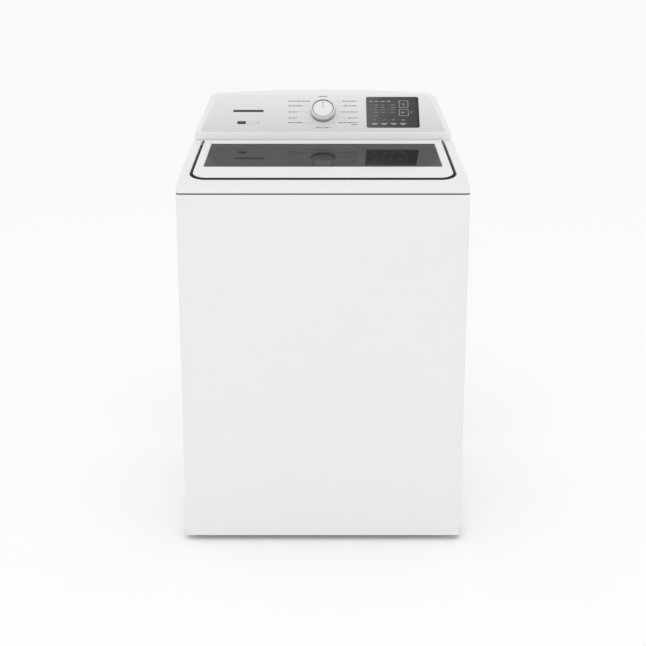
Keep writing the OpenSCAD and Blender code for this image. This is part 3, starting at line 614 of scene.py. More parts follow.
rings = [[(x, y, top_low.z + seam + rise) for x, y in outline(*top_box, grow=-inset)]
         for inset, rise in ((0.0022, 0.0004), (0.0014, 0), (0.0006, 0.0003), (0, 0.0012))]
for share in (0.0, 0.004, 0.012, 0.03, 0.055, 0.09, 0.14, 0.20, 0.26, 0.32, 0.36,
              0.45, 0.56, 0.68, 0.80, 0.89):
    rings.append(draped(between(top_edge, recess_edge, share)))
edge_round = 0.0015
for turn in range(6):
    a = radians(18 * turn)
    rings.append(draped(outline(*recess_box, grow=edge_round * (1 - sin(a))),
                        edge_round * (1 - cos(a))))
floor_round = 0.004
for turn in range(5):
    a = radians(90 * turn / 4)
    rings.append(under(outline(*recess_box, grow=-floor_round * (1 - cos(a))),
                       recess_depth - floor_round * (1 - sin(a))))
inner_floor = outline(*recess_box, grow=-floor_round)
opening = [opening_point(x, y) for x, y in inner_floor]
for share in (0.3, 0.7, 0.93):
    rings.append(under(between(inner_floor, opening, share), recess_depth))
for turn in range(4):
    a = radians(30 * turn)
    rings.append(under(between(inner_floor, opening, 0.96 + 0.04 * sin(a)),
                       recess_depth + 0.004 * (1 - cos(a))))
rings.append(under(opening, recess_depth + 0.012))
worktop = piece("worktop_skin", loft(rings), white_enamel, "cabinet", "worktop", smooth=50)
thicken(worktop, top_sheet)
# A black strip set inside the open seam: painted shadow that darkens the seam line, where the
# real seam has only a gap.
strip = [[(x, y, top_low.z + rise) for x, y in outline(*top_box, grow=-inset)]
         for inset, rise in ((0.0010, -0.0012), (0.0010, 0.0012), (0.0050, 0.0012),
                             (0.0050, -0.0012))]
piece("seam_shadow_strip", loft(strip, tied=True), black_rubber, "cabinet")

# ---------------------------------------------------------------- hinge and lock parts
# Acetal bushes either side of the recess carry the hinge pins. A solenoid lock under
# the front edge shoots a steel bolt through the lid's strike, and soft bumpers on
# the recess floor take the lid's weight.
dark_plastic = moulded("dark_plastic", "dark_plastic", (0.035, 0.036, 0.040), 0.48)
brushed_steel = metal("brushed_steel", "stainless_steel", (0.66, 0.67, 0.68), 0.32,
                      (1, 1, 12), 220.0)
dress("hinge_bushes", dark_plastic)
dress("lid_lock_housing", dark_plastic)
dress("lid_lock_bolt", brushed_steel)
bumper_low, bumper_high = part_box("lid_bumpers")
bumper_radius = 0.007
bumpers = []
for x in (bumper_low.x + bumper_radius, bumper_high.x - bumper_radius):
    for y in (bumper_low.y + bumper_radius, bumper_high.y - bumper_radius):
        foot = line_height(y) - recess_depth - 0.0006
        top = line_height(y - bumper_radius) - lid_thick - 0.0003
        side = offset(0, foot, (0, 0), (0.0068, 0), (0.0070, 0.002), (0.0066, 0.0032))
        side += [(0.0052, (foot + top) / 2 + 0.0005)]
        side += offset(0, top, (0.0046, -0.0008), (0.0032, -0.0001), (0, 0))
        bumpers.append(turned(side, 32, x, y))
piece("lid_bumper_buttons", joined(bumpers), black_rubber, "cabinet", "lid_bumpers")

# ---------------------------------------------------------------- water inlet
# A twin solenoid valve of glass-filled nylon with two threaded couplings through the
# console's rear cover, a corrugated hose, and the flared spout over the basket.
white_nylon = moulded("white_nylon", "white_nylon", (0.78, 0.77, 0.73), 0.42, 600.0)
valve_low, valve_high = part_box("inlet_valve")
cover_low, cover_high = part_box("console_rear_cover")
inlet_height = deck_z + 0.034
inlet_radius = 0.0132
inlet_places = (-0.200, -0.150)
inlets = []
for x in inlet_places:
    start = Vector((x, cover_high.y + 0.0012, inlet_height))
    length = valve_high.y - start.y
    coupling = [thread(0, 0, inlet_radius, 0.0020, length - 0.0012, 0.0022, 0.0010, 48,
                       caps=False),
                turned(offset(inlet_radius, 0, (0.0012, -0.0012), (0.0012, 0.0004),
                              (0.0006, 0.0010)) + [(0.0095, 0.0010)], 48),
                turned(offset(inlet_radius, length, (-0.0012, -0.0014), (-0.0010, -0.0004),
                              (-0.0016, 0))
                       + offset(0, length, (0.0099, 0), (0.0095, -0.0004), (0.0095, -0.0060),
                                (0.0080, -0.0062), (0.0022, -0.0075), (0, -0.0077)), 48)]
    for part in coupling:
        part.transform(Matrix.Translation(start) @ facing_back)
        inlets.append(tidy(part))
block_y = (cover_low.y - 0.034, cover_low.y - 0.004)


def block(x0, x1, y0, y1, z0, z1, edge):
    """A moulded block with rounded edges."""
    work = bmesh.new()
    bmesh.ops.create_cube(work, size=1.0)
    for vertex in work.verts:
        vertex.co = Vector(((x0 + x1) / 2 + vertex.co.x * (x1 - x0),
                            (y0 + y1) / 2 + vertex.co.y * (y1 - y0),
                            (z0 + z1) / 2 + vertex.co.z * (z1 - z0)))
    bmesh.ops.bevel(work, geom=work.edges, offset=edge, segments=3, affect="EDGES",
                    profile=0.5)
    bmesh.ops.recalc_face_normals(work, faces=work.faces)
    return finished(work)


valve_parts = inlets + [block(valve_low.x + 0.002, valve_high.x - 0.002, *block_y,
                              inlet_height - 0.016, inlet_height + 0.016, 0.003)]
coil = offset(0, inlet_height, (0, 0.014), (0.0118, 0.014), (0.0120, 0.0165),
              (0.0112, 0.0175), (0.0112, 0.0265), (0.0120, 0.0275), (0.0116, 0.0288),
              (0, 0.0288))
outflow = (offset(0, valve_low.z, (0, 0), (0.0080, 0), (0.0088, 0.001), (0.0076, 0.003))
           + offset(0, inlet_height, (0.0076, -0.014), (0, -0.014)))
valve_x, valve_y = sum(inlet_places) / 2, cover_low.y - 0.019
valve_parts += [turned(coil, 40, x, valve_y) for x in inlet_places]
valve_parts.append(turned(outflow, 32, valve_x, valve_y))
piece("inlet_valve_body", joined(valve_parts), white_nylon, "cabinet", "inlet_valve")
dress("fill_spout", white_nylon)


def sweep(path, ring_of, closed=False):
    """Carries a ring of (across, up) points along a path without twisting it."""
    count = len(path)
    rings, side = [], None
    for i, here in enumerate(path):
        before = path[i - 1] if closed or i else here
        after = path[(i + 1) % count] if closed or i < count - 1 else here
        along = (after - before).normalized()
        if side is None:
            side = along.orthogonal().normalized()
        side = (side - along * side.dot(along)).normalized()
        up = along.cross(side)
        rings.append([here + side * a + up * b for a, b in ring_of(i)])
    return loft(rings, caps=not closed, tied=closed)


def rounded_route(corners, bend, step):
    """A route through corner points with round bends, as evenly spaced points."""
    corners = [Vector(corner) for corner in corners]
    route = [corners[0]]
    for before, here, after in zip(corners, corners[1:], corners[2:]):
        first, second = (here - before).normalized(), (after - here).normalized()
        start, end = here - first * bend, here + second * bend
        for k in range(9):
            t = k / 8
            route.append(start * (1 - t) ** 2 + here * 2 * t * (1 - t) + end * t * t)
    route.append(corners[-1])
    points, carry = [route[0]], 0.0
    for a, b in zip(route, route[1:]):
        span = (b - a).length
        at = step - carry
        while at < span:
            points.append(a.lerp(b, at / span))
            at += step
        carry = span - (at - step)
    return points


def corrugated(route, radius, pitch):
    """A hose whose wall rises and falls along its length."""
    step = pitch / 6

    def ring(i):
        r = radius - 0.0009 * (1 - cos(2 * pi * i * step / pitch)) / 2
        return [(r * cos(a), r * sin(a)) for a in around(18)]

    return sweep(route, ring)


hose_low, hose_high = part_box("fill_hose")
hose_y = hose_high.y - 0.009
run_y, run_z = hose_low.y + 0.009, hose_low.z + 0.009
fill_route = rounded_route([(valve_x, hose_y, hose_high.z - 0.001), (valve_x, hose_y, run_z),
                            (valve_x, run_y, run_z), (hose_high.x - 0.001, run_y, run_z)],
                           0.016, 0.0045 / 6)
piece("fill_hose_run", corrugated(fill_route, 0.0089, 0.0045), black_rubber, "cabinet",
      "fill_hose")

# ---------------------------------------------------------------- console housing
# The tilted console is one moulded shell: an upright lip, a border round the fascia,
# a crowned top and rounded ends that lean inwards. It is screwed to the worktop.
white_plastic = moulded("white_plastic", "white_plastic", (0.85, 0.85, 0.85), 0.36, 1100.0, 0.05)
face_tilt = radians(46)
end_lean = radians(21)
face_length = 0.146
crown = 0.0125                  # how far the top falls from the middle to its ends
crease = Vector((0, console_low.y + 0.003, deck_z + 0.018))
up_face = Vector((0, sin(face_tilt), cos(face_tilt)))
out_face = Vector((0, -cos(face_tilt), sin(face_tilt)))
face_frame = Matrix(((1, 0, 0, crease.x), (0, up_face.y, out_face.y, crease.y),
                     (0, up_face.z, out_face.z, crease.z), (0, 0, 0, 1)))
crest = crease + up_face * face_length
rear_y = console_high.y
rear_z = crest.z - 0.036


def rounded_path(corners, inset=0.0):
    """A closed outline, drawn in by inset, whose corners, given as (y, z, radius), are
    true arcs."""
    path = []
    for i, (y, z, radius) in enumerate(corners):
        here = Vector((y, z))
        before = (Vector(corners[i - 1][:2]) - here).normalized()
        after = (Vector(corners[(i + 1) % len(corners)][:2]) - here).normalized()
        half = before.angle(after) / 2
        reach = max(radius, inset + 0.0004)
        centre = here + (before + after).normalized() * (reach / sin(half))
        start = (before.orthogonal() * (reach - inset)) * (
            1 if before.orthogonal().dot(after) < 0 else -1)
        turn = pi - 2 * half
        if before.x * after.y - before.y * after.x > 0:
            turn = -turn
        for k in range(9):
            a = turn * k / 8
            path.append(centre + Vector((start.x * cos(a) - start.y * sin(a),
                                         start.x * sin(a) + start.y * cos(a))))
    return path


side_corners = [
    (console_low.y, deck_z, 0.0008), (crease.y, crease.z, 0.004),
    (crest.y + 0.004, crest.z + 0.0028, 0.012), (crest.y + 0.032, crest.z + 0.0008, 0.035),
    (rear_y - 0.0005, rear_z - 0.004, 0.014), (rear_y, deck_z, 0.0008)]
side_profile = rounded_path(side_corners)
foot_half = console_high.x
end_round = 0.026
end_soft = 0.0060
lean_start = crease.z - 0.004
round_z = crest.z + 0.003 - end_round
round_x = (foot_half - (round_z - lean_start) * tan(end_lean)
           - end_round / cos(end_lean))


def end_x(z):
    """Half the console's width at a height."""
    if z <= lean_start:
        return foot_half
    if z <= round_z + end_round * sin(end_lean):
        return foot_half - (z - lean_start) * tan(end_lean)
    rise = min((z - round_z) / end_round, 1.0)
    return round_x + end_round * sqrt(max(1 - rise * rise, 0.0))


def console_ring(path, share, edge=0.0):
    """The side profile at a share of the half width. The top falls a little towards the
    ends, down the face's own slope."""
    ring = []
    for p in path:
        half = end_x(p.y)
        x = share * (half - edge)
        rise = min(max((p.y - crease.z) / (crest.z - crease.z), 0.0), 1.0)
        fall = crown * rise ** 3 * (x / half) ** 2
        ring.append((x, p.x - fall * up_face.y, p.y - fall * up_face.z))
    return ring


def console_end(side):
    """One end, from the middle of its flat out over its rounded edge."""
    flat = rounded_path(side_corners, end_soft)
    middle = sum(flat, Vector((0, 0))) / len(flat)
    rings = [console_ring([middle.lerp(p, s) for p in flat], side)
             for s in (0.02, 0.25, 0.5, 0.7, 0.85, 0.95)]
    return rings + [console_ring(rounded_path(side_corners, end_soft * (1 - cos(a))),
                                 side, end_soft * (1 - sin(a)))
                    for a in quarter[::-1]]


console_rings = (console_end(-1)
                 + [console_ring(side_profile, k / 12, end_soft) for k in range(-11, 12)]
                 + console_end(1)[::-1])


def carved(mesh, cutter):
    """One closed mesh with another cut out of it."""
    pair = [placed("carving", shape) for shape in (mesh, cutter)]
    cut = pair[0].modifiers.new("cut", "BOOLEAN")
    cut.object, cut.operation, cut.solver = pair[1], "DIFFERENCE", "EXACT"
    result = bpy.data.meshes.new_from_object(
        pair[0].evaluated_get(bpy.context.evaluated_depsgraph_get()))
    for shape in pair:
        bpy.data.objects.remove(shape)
    return result


window_half, window_head = 0.268, rear_z - 0.025
rear_window = block(-window_half, window_half, cover_high.y - 0.0010, rear_y + 0.02,
                    deck_z - 0.02, window_head, 0.003)
piece("console_shell", carved(loft(console_rings, caps=True), rear_window), white_plastic,
      "cabinet", "console_housing", smooth=40)

# ---------------------------------------------------------------- console rear cover
# A galvanised plate with a pressed step round its edge, screwed to the back of the
# console. The couplings come through two holes in it.
cover_edge = 0.012


def cover_ring(inset, y):
    x = cover_high.x - inset
    return [(px, y, pz) for px, pz in round_box(-x, x, cover_low.z + inset,
                                                cover_high.z - inset,
                                                max(0.008 - inset, 0.002), 6)]


cover_y = cover_high.y
cover_rings = [cover_ring(0.0004, cover_low.y), cover_ring(0, cover_low.y + 0.0003)]
cover_rings += [cover_ring(inset, cover_y - drop) for inset, drop in (
    (0, 0.0009), (0.0005, 0.0004), (cover_edge, 0.0004), (cover_edge + 0.0012, 0.0002),
    (cover_edge + 0.0024, 0))]
piece("console_rear_plate", loft(cover_rings, caps=True), galvanised, "cabinet",
      "console_rear_cover", smooth=30)
cover_screws = modelled("cover_screws", screws, Head=0.0040,
                        Width=2 * (window_half - 0.010),
                        Height=window_head - cover_low.z - 0.016)
cover_screws.transform(Matrix.Translation((0, cover_y - 0.0002,
                                           (cover_low.z + window_head) / 2)) @ facing_back)
piece("console_cover_screws", tidy(cover_screws), bright_zinc, "cabinet")

# ---------------------------------------------------------------- console fascia
# A separate satin panel let into the console's face. It carries the dial, the printed
# scale round it and the display, and leaves an even border of the shell in view.
satin = Finish("fascia_satin", "silver_grey_plastic", (0.74, 0.745, 0.75), 0.36, Coat_Weight=0.15,
               Coat_Roughness=0.2)
mist = satin.noise(7.0)
# The base colour grows lighter towards the top of the face and darker towards the lid: painted
# shade, with a faint random mottle.
painted_shade_rise = (satin.at(2) - crease.z) / (crest.z - crease.z)
satin.set(Base_Color=satin.blend(painted_shade_rise + mist * 0.05, (0.665, 0.668, 0.673),
                                 (0.800, 0.802, 0.805)), Roughness=mist * 0.08 + 0.32)
satin.bump(satin.noise(1500.0, 1.0), 0.05, 0.0002)
fascia_half = foot_half - 0.016
fascia_lean = tan(end_lean) * cos(face_tilt)
fascia_foot, fascia_head = 0.0035, face_length - 0.0055


def fascia_ring(inset, out):
    low, high, corner = fascia_foot + inset, fascia_head - inset, 0.016 - inset
    foot = fascia_half - inset
    top = foot - fascia_lean * (high - low)
    right = (arc(foot - 0.004, low + 0.004, 0.004, -90, -14, 4)
             + arc(top - corner, high - corner, corner, 15, 90, 8))
    ring = []
    for x, up in [(-x, up) for x, up in right[::-1]] + right:
        share = max(up / face_length, 0.0)
        fall = crown * share ** 3 * (x / foot) ** 2
        ring.append(face_frame @ Vector((x, up - fall, out)))
    return ring


fascia_rings = [fascia_ring(0, -0.0015), fascia_ring(0, 0.0002), fascia_ring(0.0002, 0.0005),
                fascia_ring(0.0006, 0.0006)]
piece("fascia_panel", loft(fascia_rings, caps=True), satin.material, "cabinet",
      "console_fascia", smooth=60)

# ---------------------------------------------------------------- printing on the fascia
# Screen-printed ink, a hair proud of the panel: plain bars stand where the maker's
# wording would be, with fine leader lines to the dial.
ink = moulded("legend_ink", "dark_plastic", (0.20, 0.205, 0.215), 0.55)
dark_ink = moulded("dark_ink", "dark_plastic", (0.028, 0.028, 0.030), 0.45)
ink_low, ink_high = 0.0004, 0.00078


def bar(x0, x1, up, height, low=ink_low, high=ink_high, corner=0.3):
    """A printed bar with rounded ends."""
    ring = round_box(x0, x1, up - height / 2, up + height / 2, height * corner, 3)
    return loft([[(x, y, z) for x, y in ring] for z in (low, high)], caps=True)


def words(x0, x1, up, height=0.0026):
    """A stretch of plain blocks of uneven length, in place of wording."""
    blocks, x, i = [], x0, 0
    lengths = (0.011, 0.007, 0.014, 0.009)
    while x < x1 - 0.002:
        end = min(x + lengths[i % 4], x1)
        blocks.append(bar(x, end, up, height))
        x, i = end + 0.0018, i + 1
    return blocks


def on_face(meshes):
    """Lays flat artwork or fittings on the console's face."""
    whole = joined(meshes)
    whole.transform(face_frame)
    return tidy(whole)


legend = words(-0.012, 0.012, 0.1255) + words(-0.020, 0.020, 0.0166)
leaders = []
for up, left, left_line, right, right_line in (
        (0.1090, (-0.094, -0.036), None, (0.052, 0.093), (0.036, 0.049)),
        (0.0925, (-0.094, -0.054), (-0.051, -0.038), (0.056, 0.093), (0.039, 0.053)),
        (0.0710, (-0.094, -0.069), (-0.063, -0.040), (0.050, 0.093), (0.040, 0.047)),
        (0.0500, (-0.094, -0.069), (-0.065, -0.036), (0.066, 0.093), (0.036, 0.063)),
        (0.0340, (-0.094, -0.054), (-0.050, -0.022), (0.042, 0.093), (0.022, 0.039))):
    legend += words(*left, up) + words(*right, up)
    leaders += [bar(*line, up, 0.0007) for line in (left_line, right_line) if line]
legend += words(0.076, 0.093, 0.0270)
piece("fascia_legend_blocks", on_face(legend), ink, "cabinet")
pale_ink = moulded("pale_ink", "silver_grey_plastic", (0.42, 0.425, 0.43), 0.5)
piece("fascia_leader_lines", on_face(leaders), pale_ink, "cabinet")
plain_bar = [bar(-0.243, -0.160, 0.0745, 0.0075, corner=0.5),
             bar(-0.230, -0.207, 0.0340, 0.0100, corner=0.18)]
piece("fascia_plain_bars", on_face(plain_bar), dark_ink, "cabinet")
pill = [bar(-0.2065, -0.1735, 0.0385, 0.0008), bar(-0.2065, -0.1735, 0.0295, 0.0008),
        bar(-0.1742, -0.1734, 0.0340, 0.0092)]
piece("fascia_plain_badge_outline", on_face(pill), pale_ink, "cabinet")

# ---------------------------------------------------------------- display lens
# A tinted acrylic plate bonded to the fascia over the indicator lamps. Its colour runs
# from smoky grey on the left to black at the right edge, a painted reflection, with
# windows and plain marks left pale.
lens_low, lens_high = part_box("display_lens")
lens_x = (lens_low.x + lens_high.x) / 2
lens_width, lens_height, lens_up = 0.142, 0.107, 0.070
lens_thick = 0.0016
smoky = Finish("smoky_lens", "black_lens", (0.05, 0.05, 0.055), 0.10, IOR=1.46)
# Painted reflection: the base colour runs from smoky grey on the left to near black on the right.
painted_reflection_across = (smoky.at(0) - (lens_x - lens_width / 2)) / lens_width
smoky.set(Base_Color=smoky.node("ShaderNodeValToRGB", {"stops": [
    (0.0, (0.085, 0.086, 0.090)), (0.35, (0.050, 0.050, 0.053)), (0.94, (0.022, 0.022, 0.024)),
    (0.965, (0.006, 0.006, 0.007))]}, {0: painted_reflection_across}),
    Roughness=smoky.noise(30.0) * 0.05 + 0.07)
key_width, key_rise = 0.027, 0.026
key_x, power_up, start_up = 0.218, 0.0975, 0.068
option_width, option_rise, option_up = 0.018, 0.009, 0.042
option_x = [0.139 + 0.0253 * i for i in range(4)]
keys = {"power_key": (key_x, power_up, key_width, key_rise),
        "start_key": (key_x, start_up, key_width, key_rise)}
keys.update({f"option_key_{i + 1}": (x, option_up, option_width, option_rise)
             for i, x in enumerate(option_x)})


def rounded_ring(x, up, width, height, corner, out):
    w, h = width / 2, height / 2
    return [(x + px, up + py, out) for px, py in round_box(-w, w, -h, h, corner, 5)]


def plate_with_holes(rim, holes, low, high, edge):
    """A plate with a softened rim and square-edged holes, filled between its edges."""
    work = bmesh.new()

    def hoop(ring):
        corners = [work.verts.new(p) for p in ring]
        return [work.edges.new((corners[i], corners[(i + 1) % len(corners)]))
                for i in range(len(corners))], corners

    def wall(first, second):
        for i in range(len(first)):
            k = (i + 1) % len(first)
            work.faces.new((first[i], first[k], second[k], second[i]))

    levels = [[hoop(rim(0, low))], [hoop(rim(0, high - edge))],
              [hoop(rim(edge * 0.3, high - edge * 0.3))], [hoop(rim(edge, high))]]
    for hoops in (levels[0], levels[3]):
        height = low if hoops is levels[0] else high
        hoops += [hoop(rounded_ring(*hole, 0.0012, height)) for hole in holes]
        bmesh.ops.triangle_fill(work, edges=[e for edges, _ in hoops for e in edges],
                                use_beauty=True)
    for a, b in zip(levels, levels[1:]):
        wall(a[0][1], b[0][1])
    for a, b in zip(levels[0][1:], levels[3][1:]):
        wall(a[1], b[1])
    bmesh.ops.recalc_face_normals(work, faces=work.faces)
    return finished(work)


def lens_rim(inset, out):
    return rounded_ring(lens_x, lens_up, lens_width - 2 * inset, lens_height - 2 * inset,
                        0.005 - inset, out)


key_gap = 0.0004
holes = [(x, up, w + 2 * key_gap, h + 2 * key_gap) for x, up, w, h in keys.values()]
lens_mesh = plate_with_holes(lens_rim, holes, 0.0005, lens_thick, 0.0004)
lens_mesh.transform(face_frame)
piece("display_lens_plate", lens_mesh, smoky.material, "cabinet", "display_lens",
      smooth=30)
glow = moulded("pale_mark", "silver_grey_plastic", (0.50, 0.505, 0.51), 0.40)
faint = moulded("faint_mark", "silver_grey_plastic", (0.30, 0.303, 0.31), 0.40)


def mark(x0, x1, up, height):
    return bar(x0, x1, up, height, lens_thick - 0.0001, lens_thick + 0.00012, 0.25)


bright_marks, dim_marks = [], []
for x0, x1 in ((0.125, 0.135), (0.1405, 0.1505), (0.1565, 0.1675), (0.1725, 0.1830)):
    bright_marks.append(mark(x0, x1, 0.1070, 0.0019))
for column, (lamp_x, x0, x1, rows) in enumerate((
        (0.1330, 0.1385, 0.1490, 5), (0.1545, 0.1590, 0.1680, 4), (0.1765, 0.1830, 0.1965, 4))):
    for row, up in enumerate((0.0945, 0.0860, 0.0775, 0.0690, 0.0570)[:rows]):
        dim_marks.append(mark(lamp_x - 0.0008, lamp_x + 0.0008, up, 0.0016))
        shorter = 0.0015 * ((row + column) % 3)
        dim_marks.append(mark(x0, x1 - shorter, up, 0.0016))
dim_marks += [mark(0.2345, 0.2440, 0.0705, 0.0014), mark(0.2345, 0.2400, 0.0670, 0.0014)]
for x in option_x:
    bright_marks += [mark(x - 0.0085, x + 0.0085, 0.0305, 0.0020),
                     mark(x - 0.0055, x + 0.0055, 0.0268, 0.0016)]
piece("display_bright_marks", on_face(bright_marks), glow, "cabinet")
piece("display_dim_marks", on_face(dim_marks), faint, "cabinet")

# ---------------------------------------------------------------- keys
# Six dark caps stand in windows in the lens and push on the board's switches. Two
# have a moulded outline and a printed icon, and four a small icon of plain shapes.
cap_top = lens_thick + 0.0003
icon_foot, icon_top = cap_top - 0.00005, cap_top + 0.00012


def framed(x, up, width, height, line, low, high):
    """A raised outline with round corners."""
    rings = [rounded_ring(x, up, width, height, 0.0016, low),
             rounded_ring(x, up, width, height, 0.0016, high),
             rounded_ring(x, up, width - 2 * line, height - 2 * line, 0.0008, high),
             rounded_ring(x, up, width - 2 * line, height - 2 * line, 0.0008, low)]
    return loft(rings, tied=True)


def circle_mark(x, up, radius, line, gap=0.0):
    """A drawn ring, open at its top by gap degrees."""
    inner, outer, rings = radius - line, radius, []
    for k in range(25):
        a = radians(90 + gap / 2 + (360 - gap) * k / 24)
        rings.append([(x + r * cos(a), up + r * sin(a), z)
                      for r, z in ((inner, icon_foot), (outer, icon_foot),
                                   (outer, icon_top), (inner, icon_top))])
    return loft(rings, caps=gap > 0)


def key_bar(x, up, width, height):
    return bar(x - width / 2, x + width / 2, up, height, icon_foot, icon_top, 0.2)


def play_mark(x, up, size):
    ring = [(x - size * 0.5, up - size * 0.6), (x + size * 0.6, up),
            (x - size * 0.5, up + size * 0.6)]
    return loft([[(a, b, z) for a, b in ring] for z in (icon_foot, icon_top)], caps=True)


for name, (x, up, width, height) in keys.items():
    rings = [rounded_ring(x, up, width, height, 0.0012, -0.003),
             rounded_ring(x, up, width, height, 0.0012, cap_top - 0.0004),
             rounded_ring(x, up, width - 0.0003, height - 0.0003, 0.0011, cap_top - 0.0001),
             rounded_ring(x, up, width - 0.0009, height - 0.0009, 0.0008, cap_top)]
    stem = turned([(0, -0.0164), (0.0026, -0.0164), (0.0030, -0.0160), (0.0030, -0.0032),
                   (0.0, -0.0032)], 20, x, up)
    # The caps share the lens finish, with its painted reflection from grey on the left to black
    # on the right.
    piece(name + "_button", on_face([loft(rings, caps=True), stem]), smoky.material,
          name + "_cap", name, smooth=30)
    if width > option_width:
        drawn = [framed(x, up, width - 0.0022, height - 0.0022, 0.0010, icon_foot,
                        icon_top)]
    else:
        drawn = []
    if name == "power_key":
        drawn += [circle_mark(x, up - 0.0003, 0.0044, 0.0009, 70), key_bar(x, up + 0.0034,
                                                                          0.0009, 0.0042)]
    elif name == "start_key":
        drawn += [play_mark(x - 0.0032, up, 0.0050), key_bar(x + 0.0026, up, 0.0013, 0.0056),
                  key_bar(x + 0.0052, up, 0.0013, 0.0056)]
    elif name == "option_key_1":
        drawn += [key_bar(x, up - 0.0008, 0.0012, 0.0042), circle_mark(x, up + 0.0020,
                                                                      0.0014, 0.0006)]
    elif name == "option_key_2":
        drawn += [key_bar(x + s, up, 0.0034, 0.0009) for s in (-0.0026, 0.0026)]
    elif name == "option_key_3":
        drawn += [circle_mark(x, up, 0.0026, 0.0007), key_bar(x, up, 0.0009, 0.0009)]
    else:
        drawn += [key_bar(x, up + s, 0.0080, 0.0008) for s in (-0.0015, 0.0015)]
    piece(name + "_icon", on_face(drawn), glow, name + "_cap")

# ---------------------------------------------------------------- control board
# A glass-epoxy circuit board on four posts behind the lens. It carries the switches
# that the keys press, with a shaft encoder beside it for the dial.
board = Finish("circuit_board", "circuit_board", (0.02, 0.13, 0.06), 0.35)
tracks = board.node("ShaderNodeTexBrick", {"offset": 0.35}, {
    "Vector": board.place, "Scale": 90.0, "Mortar Size": 0.018, "Color1": (1, 1, 1, 1),
    "Color2": (0.85, 0.85, 0.85, 1), "Mortar": (0, 0, 0, 1)})
track_mask = board.node("ShaderNodeSeparateColor", inputs={0: tracks})
board.set(Base_Color=board.blend(track_mask, (0.30, 0.26, 0.10), (0.015, 0.11, 0.05)),
          Roughness=track_mask * 0.15 + 0.25)
dress("control_board", board.material)
dress("selector_encoder", dark_plastic)
dress("pressure_sensor", dark_plastic)

# ---------------------------------------------------------------- cycle knob
# A white moulded knob with a dished face, a satin skirt and a metal liner inside its
# rim, pushed on to the encoder's shaft. The liner's dark colour is painted shade for the
# shadow gap at the face's edge. A plated ring lies round it on the fascia.
bright_trim = metal("bright_trim", "bright_trim", (0.52, 0.53, 0.54), 0.22, grain=700.0,
                    relief=0.02)
# Near-black metal for the knob's liner: painted shade for the shadow gap at the face's rim.
painted_shade_liner = metal("painted_shade_liner", "bright_trim", (0.10, 0.10, 0.11), 0.30, grain=700.0,
                   relief=0.02)
silver = Finish("satin_silver", "bright_trim", (0.48, 0.485, 0.49), 0.34, Metallic=0.55)
silver_cloud = silver.noise(14.0)
silver.set(Roughness=silver_cloud * 0.1 + 0.28,
           Base_Color=silver.blend(silver_cloud, (0.44, 0.445, 0.45), (0.52, 0.525, 0.53)))
knob_up = 0.070
knob_radius, knob_face_radius, knob_height = 0.0325, 0.0298, 0.020
dish = 0.0020
dish_height = knob_height - dish


def dialled(profile, steps=96, swell=None):
    """Turns a profile about the dial's axis."""
    return on_face([turned(profile, steps, 0, knob_up, swell)])


def knurled(radius, angle, height):
    """Fine flutes round the widest part of the skirt."""
    return radius - (0.00022 * (1 + cos(60 * angle)) if radius > knob_radius - 0.0008
                     else 0)


knob_wall = [(0.0, 0.0060)] + offset(knob_face_radius, 0, (0.0013, 0.0060), (0.0014, 0.0085),
                                     (0.0012, 0.0130))
knob_wall += offset(knob_face_radius, knob_height, (0.0008, -0.0018), (0.0005, -0.0006),
                    (0, 0), (-0.0006, 0), (-0.0009, -0.0003), (-0.0011, -0.0010))
knob_wall += offset(knob_face_radius, dish_height, (-0.0012, -0.0002))
piece("cycle_knob_body", dialled(knob_wall), white_plastic, "knob", "cycle_knob", smooth=50)
# The liner's dark colour is painted shade for the shadow gap at the face's edge.
liner = (offset(knob_face_radius, knob_height, (-0.0010, -0.0007), (-0.0022, -0.0010))
         + offset(knob_face_radius, dish_height, (-0.0026, -0.0001), (-0.0012, -0.0004)))
piece("cycle_knob_shade_liner", dialled(liner + liner[:1]), painted_shade_liner, "knob", smooth=30)
face_disc = (offset(0, dish_height, (0, 0.0002), (0.010, 0.0001), (0.022, 0))
             + offset(knob_face_radius, dish_height, (-0.0030, 0), (-0.0024, -0.0006)))
piece("cycle_knob_face", dialled(face_disc), white_plastic, "knob", smooth=50)
skirt = (offset(knob_face_radius, 0, (0, 0.0078), (0.0017, 0.0074))
         + offset(knob_radius, 0, (-0.0014, 0.0062), (-0.0003, 0.0052), (0, 0.0044),
                  (0, 0.0026), (-0.0005, 0.0021))
         + [(knob_face_radius - 0.002, 0.0020), (0.0030, 0.0020), (0.0030, -0.0168),
            (0, -0.017)])
piece("cycle_knob_skirt", dialled(skirt, 180, knurled), silver.material, "knob", smooth=30)
pointer = bar(-0.0007, 0.0007, knob_up + 0.0125, 0.0250, dish_height - 0.0001,
              dish_height + 0.0004, 0.02)
piece("cycle_knob_pointer", on_face([pointer]), ink, "knob")
ring_high, collar_bore = 0.0012, 0.0275
collar = ([(collar_bore, 0.0005)] + offset(knob_radius, 0, (0.0024, 0.0005), (0.0023, 0.0008),
                                      (0.0017, ring_high - 0.0001), (0.0010, ring_high))
          + [(0.0277, ring_high), (collar_bore, ring_high - 0.0002), (collar_bore, 0.0005)])
piece("knob_collar", dialled(collar), bright_trim, "cabinet", "knob_ring", smooth=30)

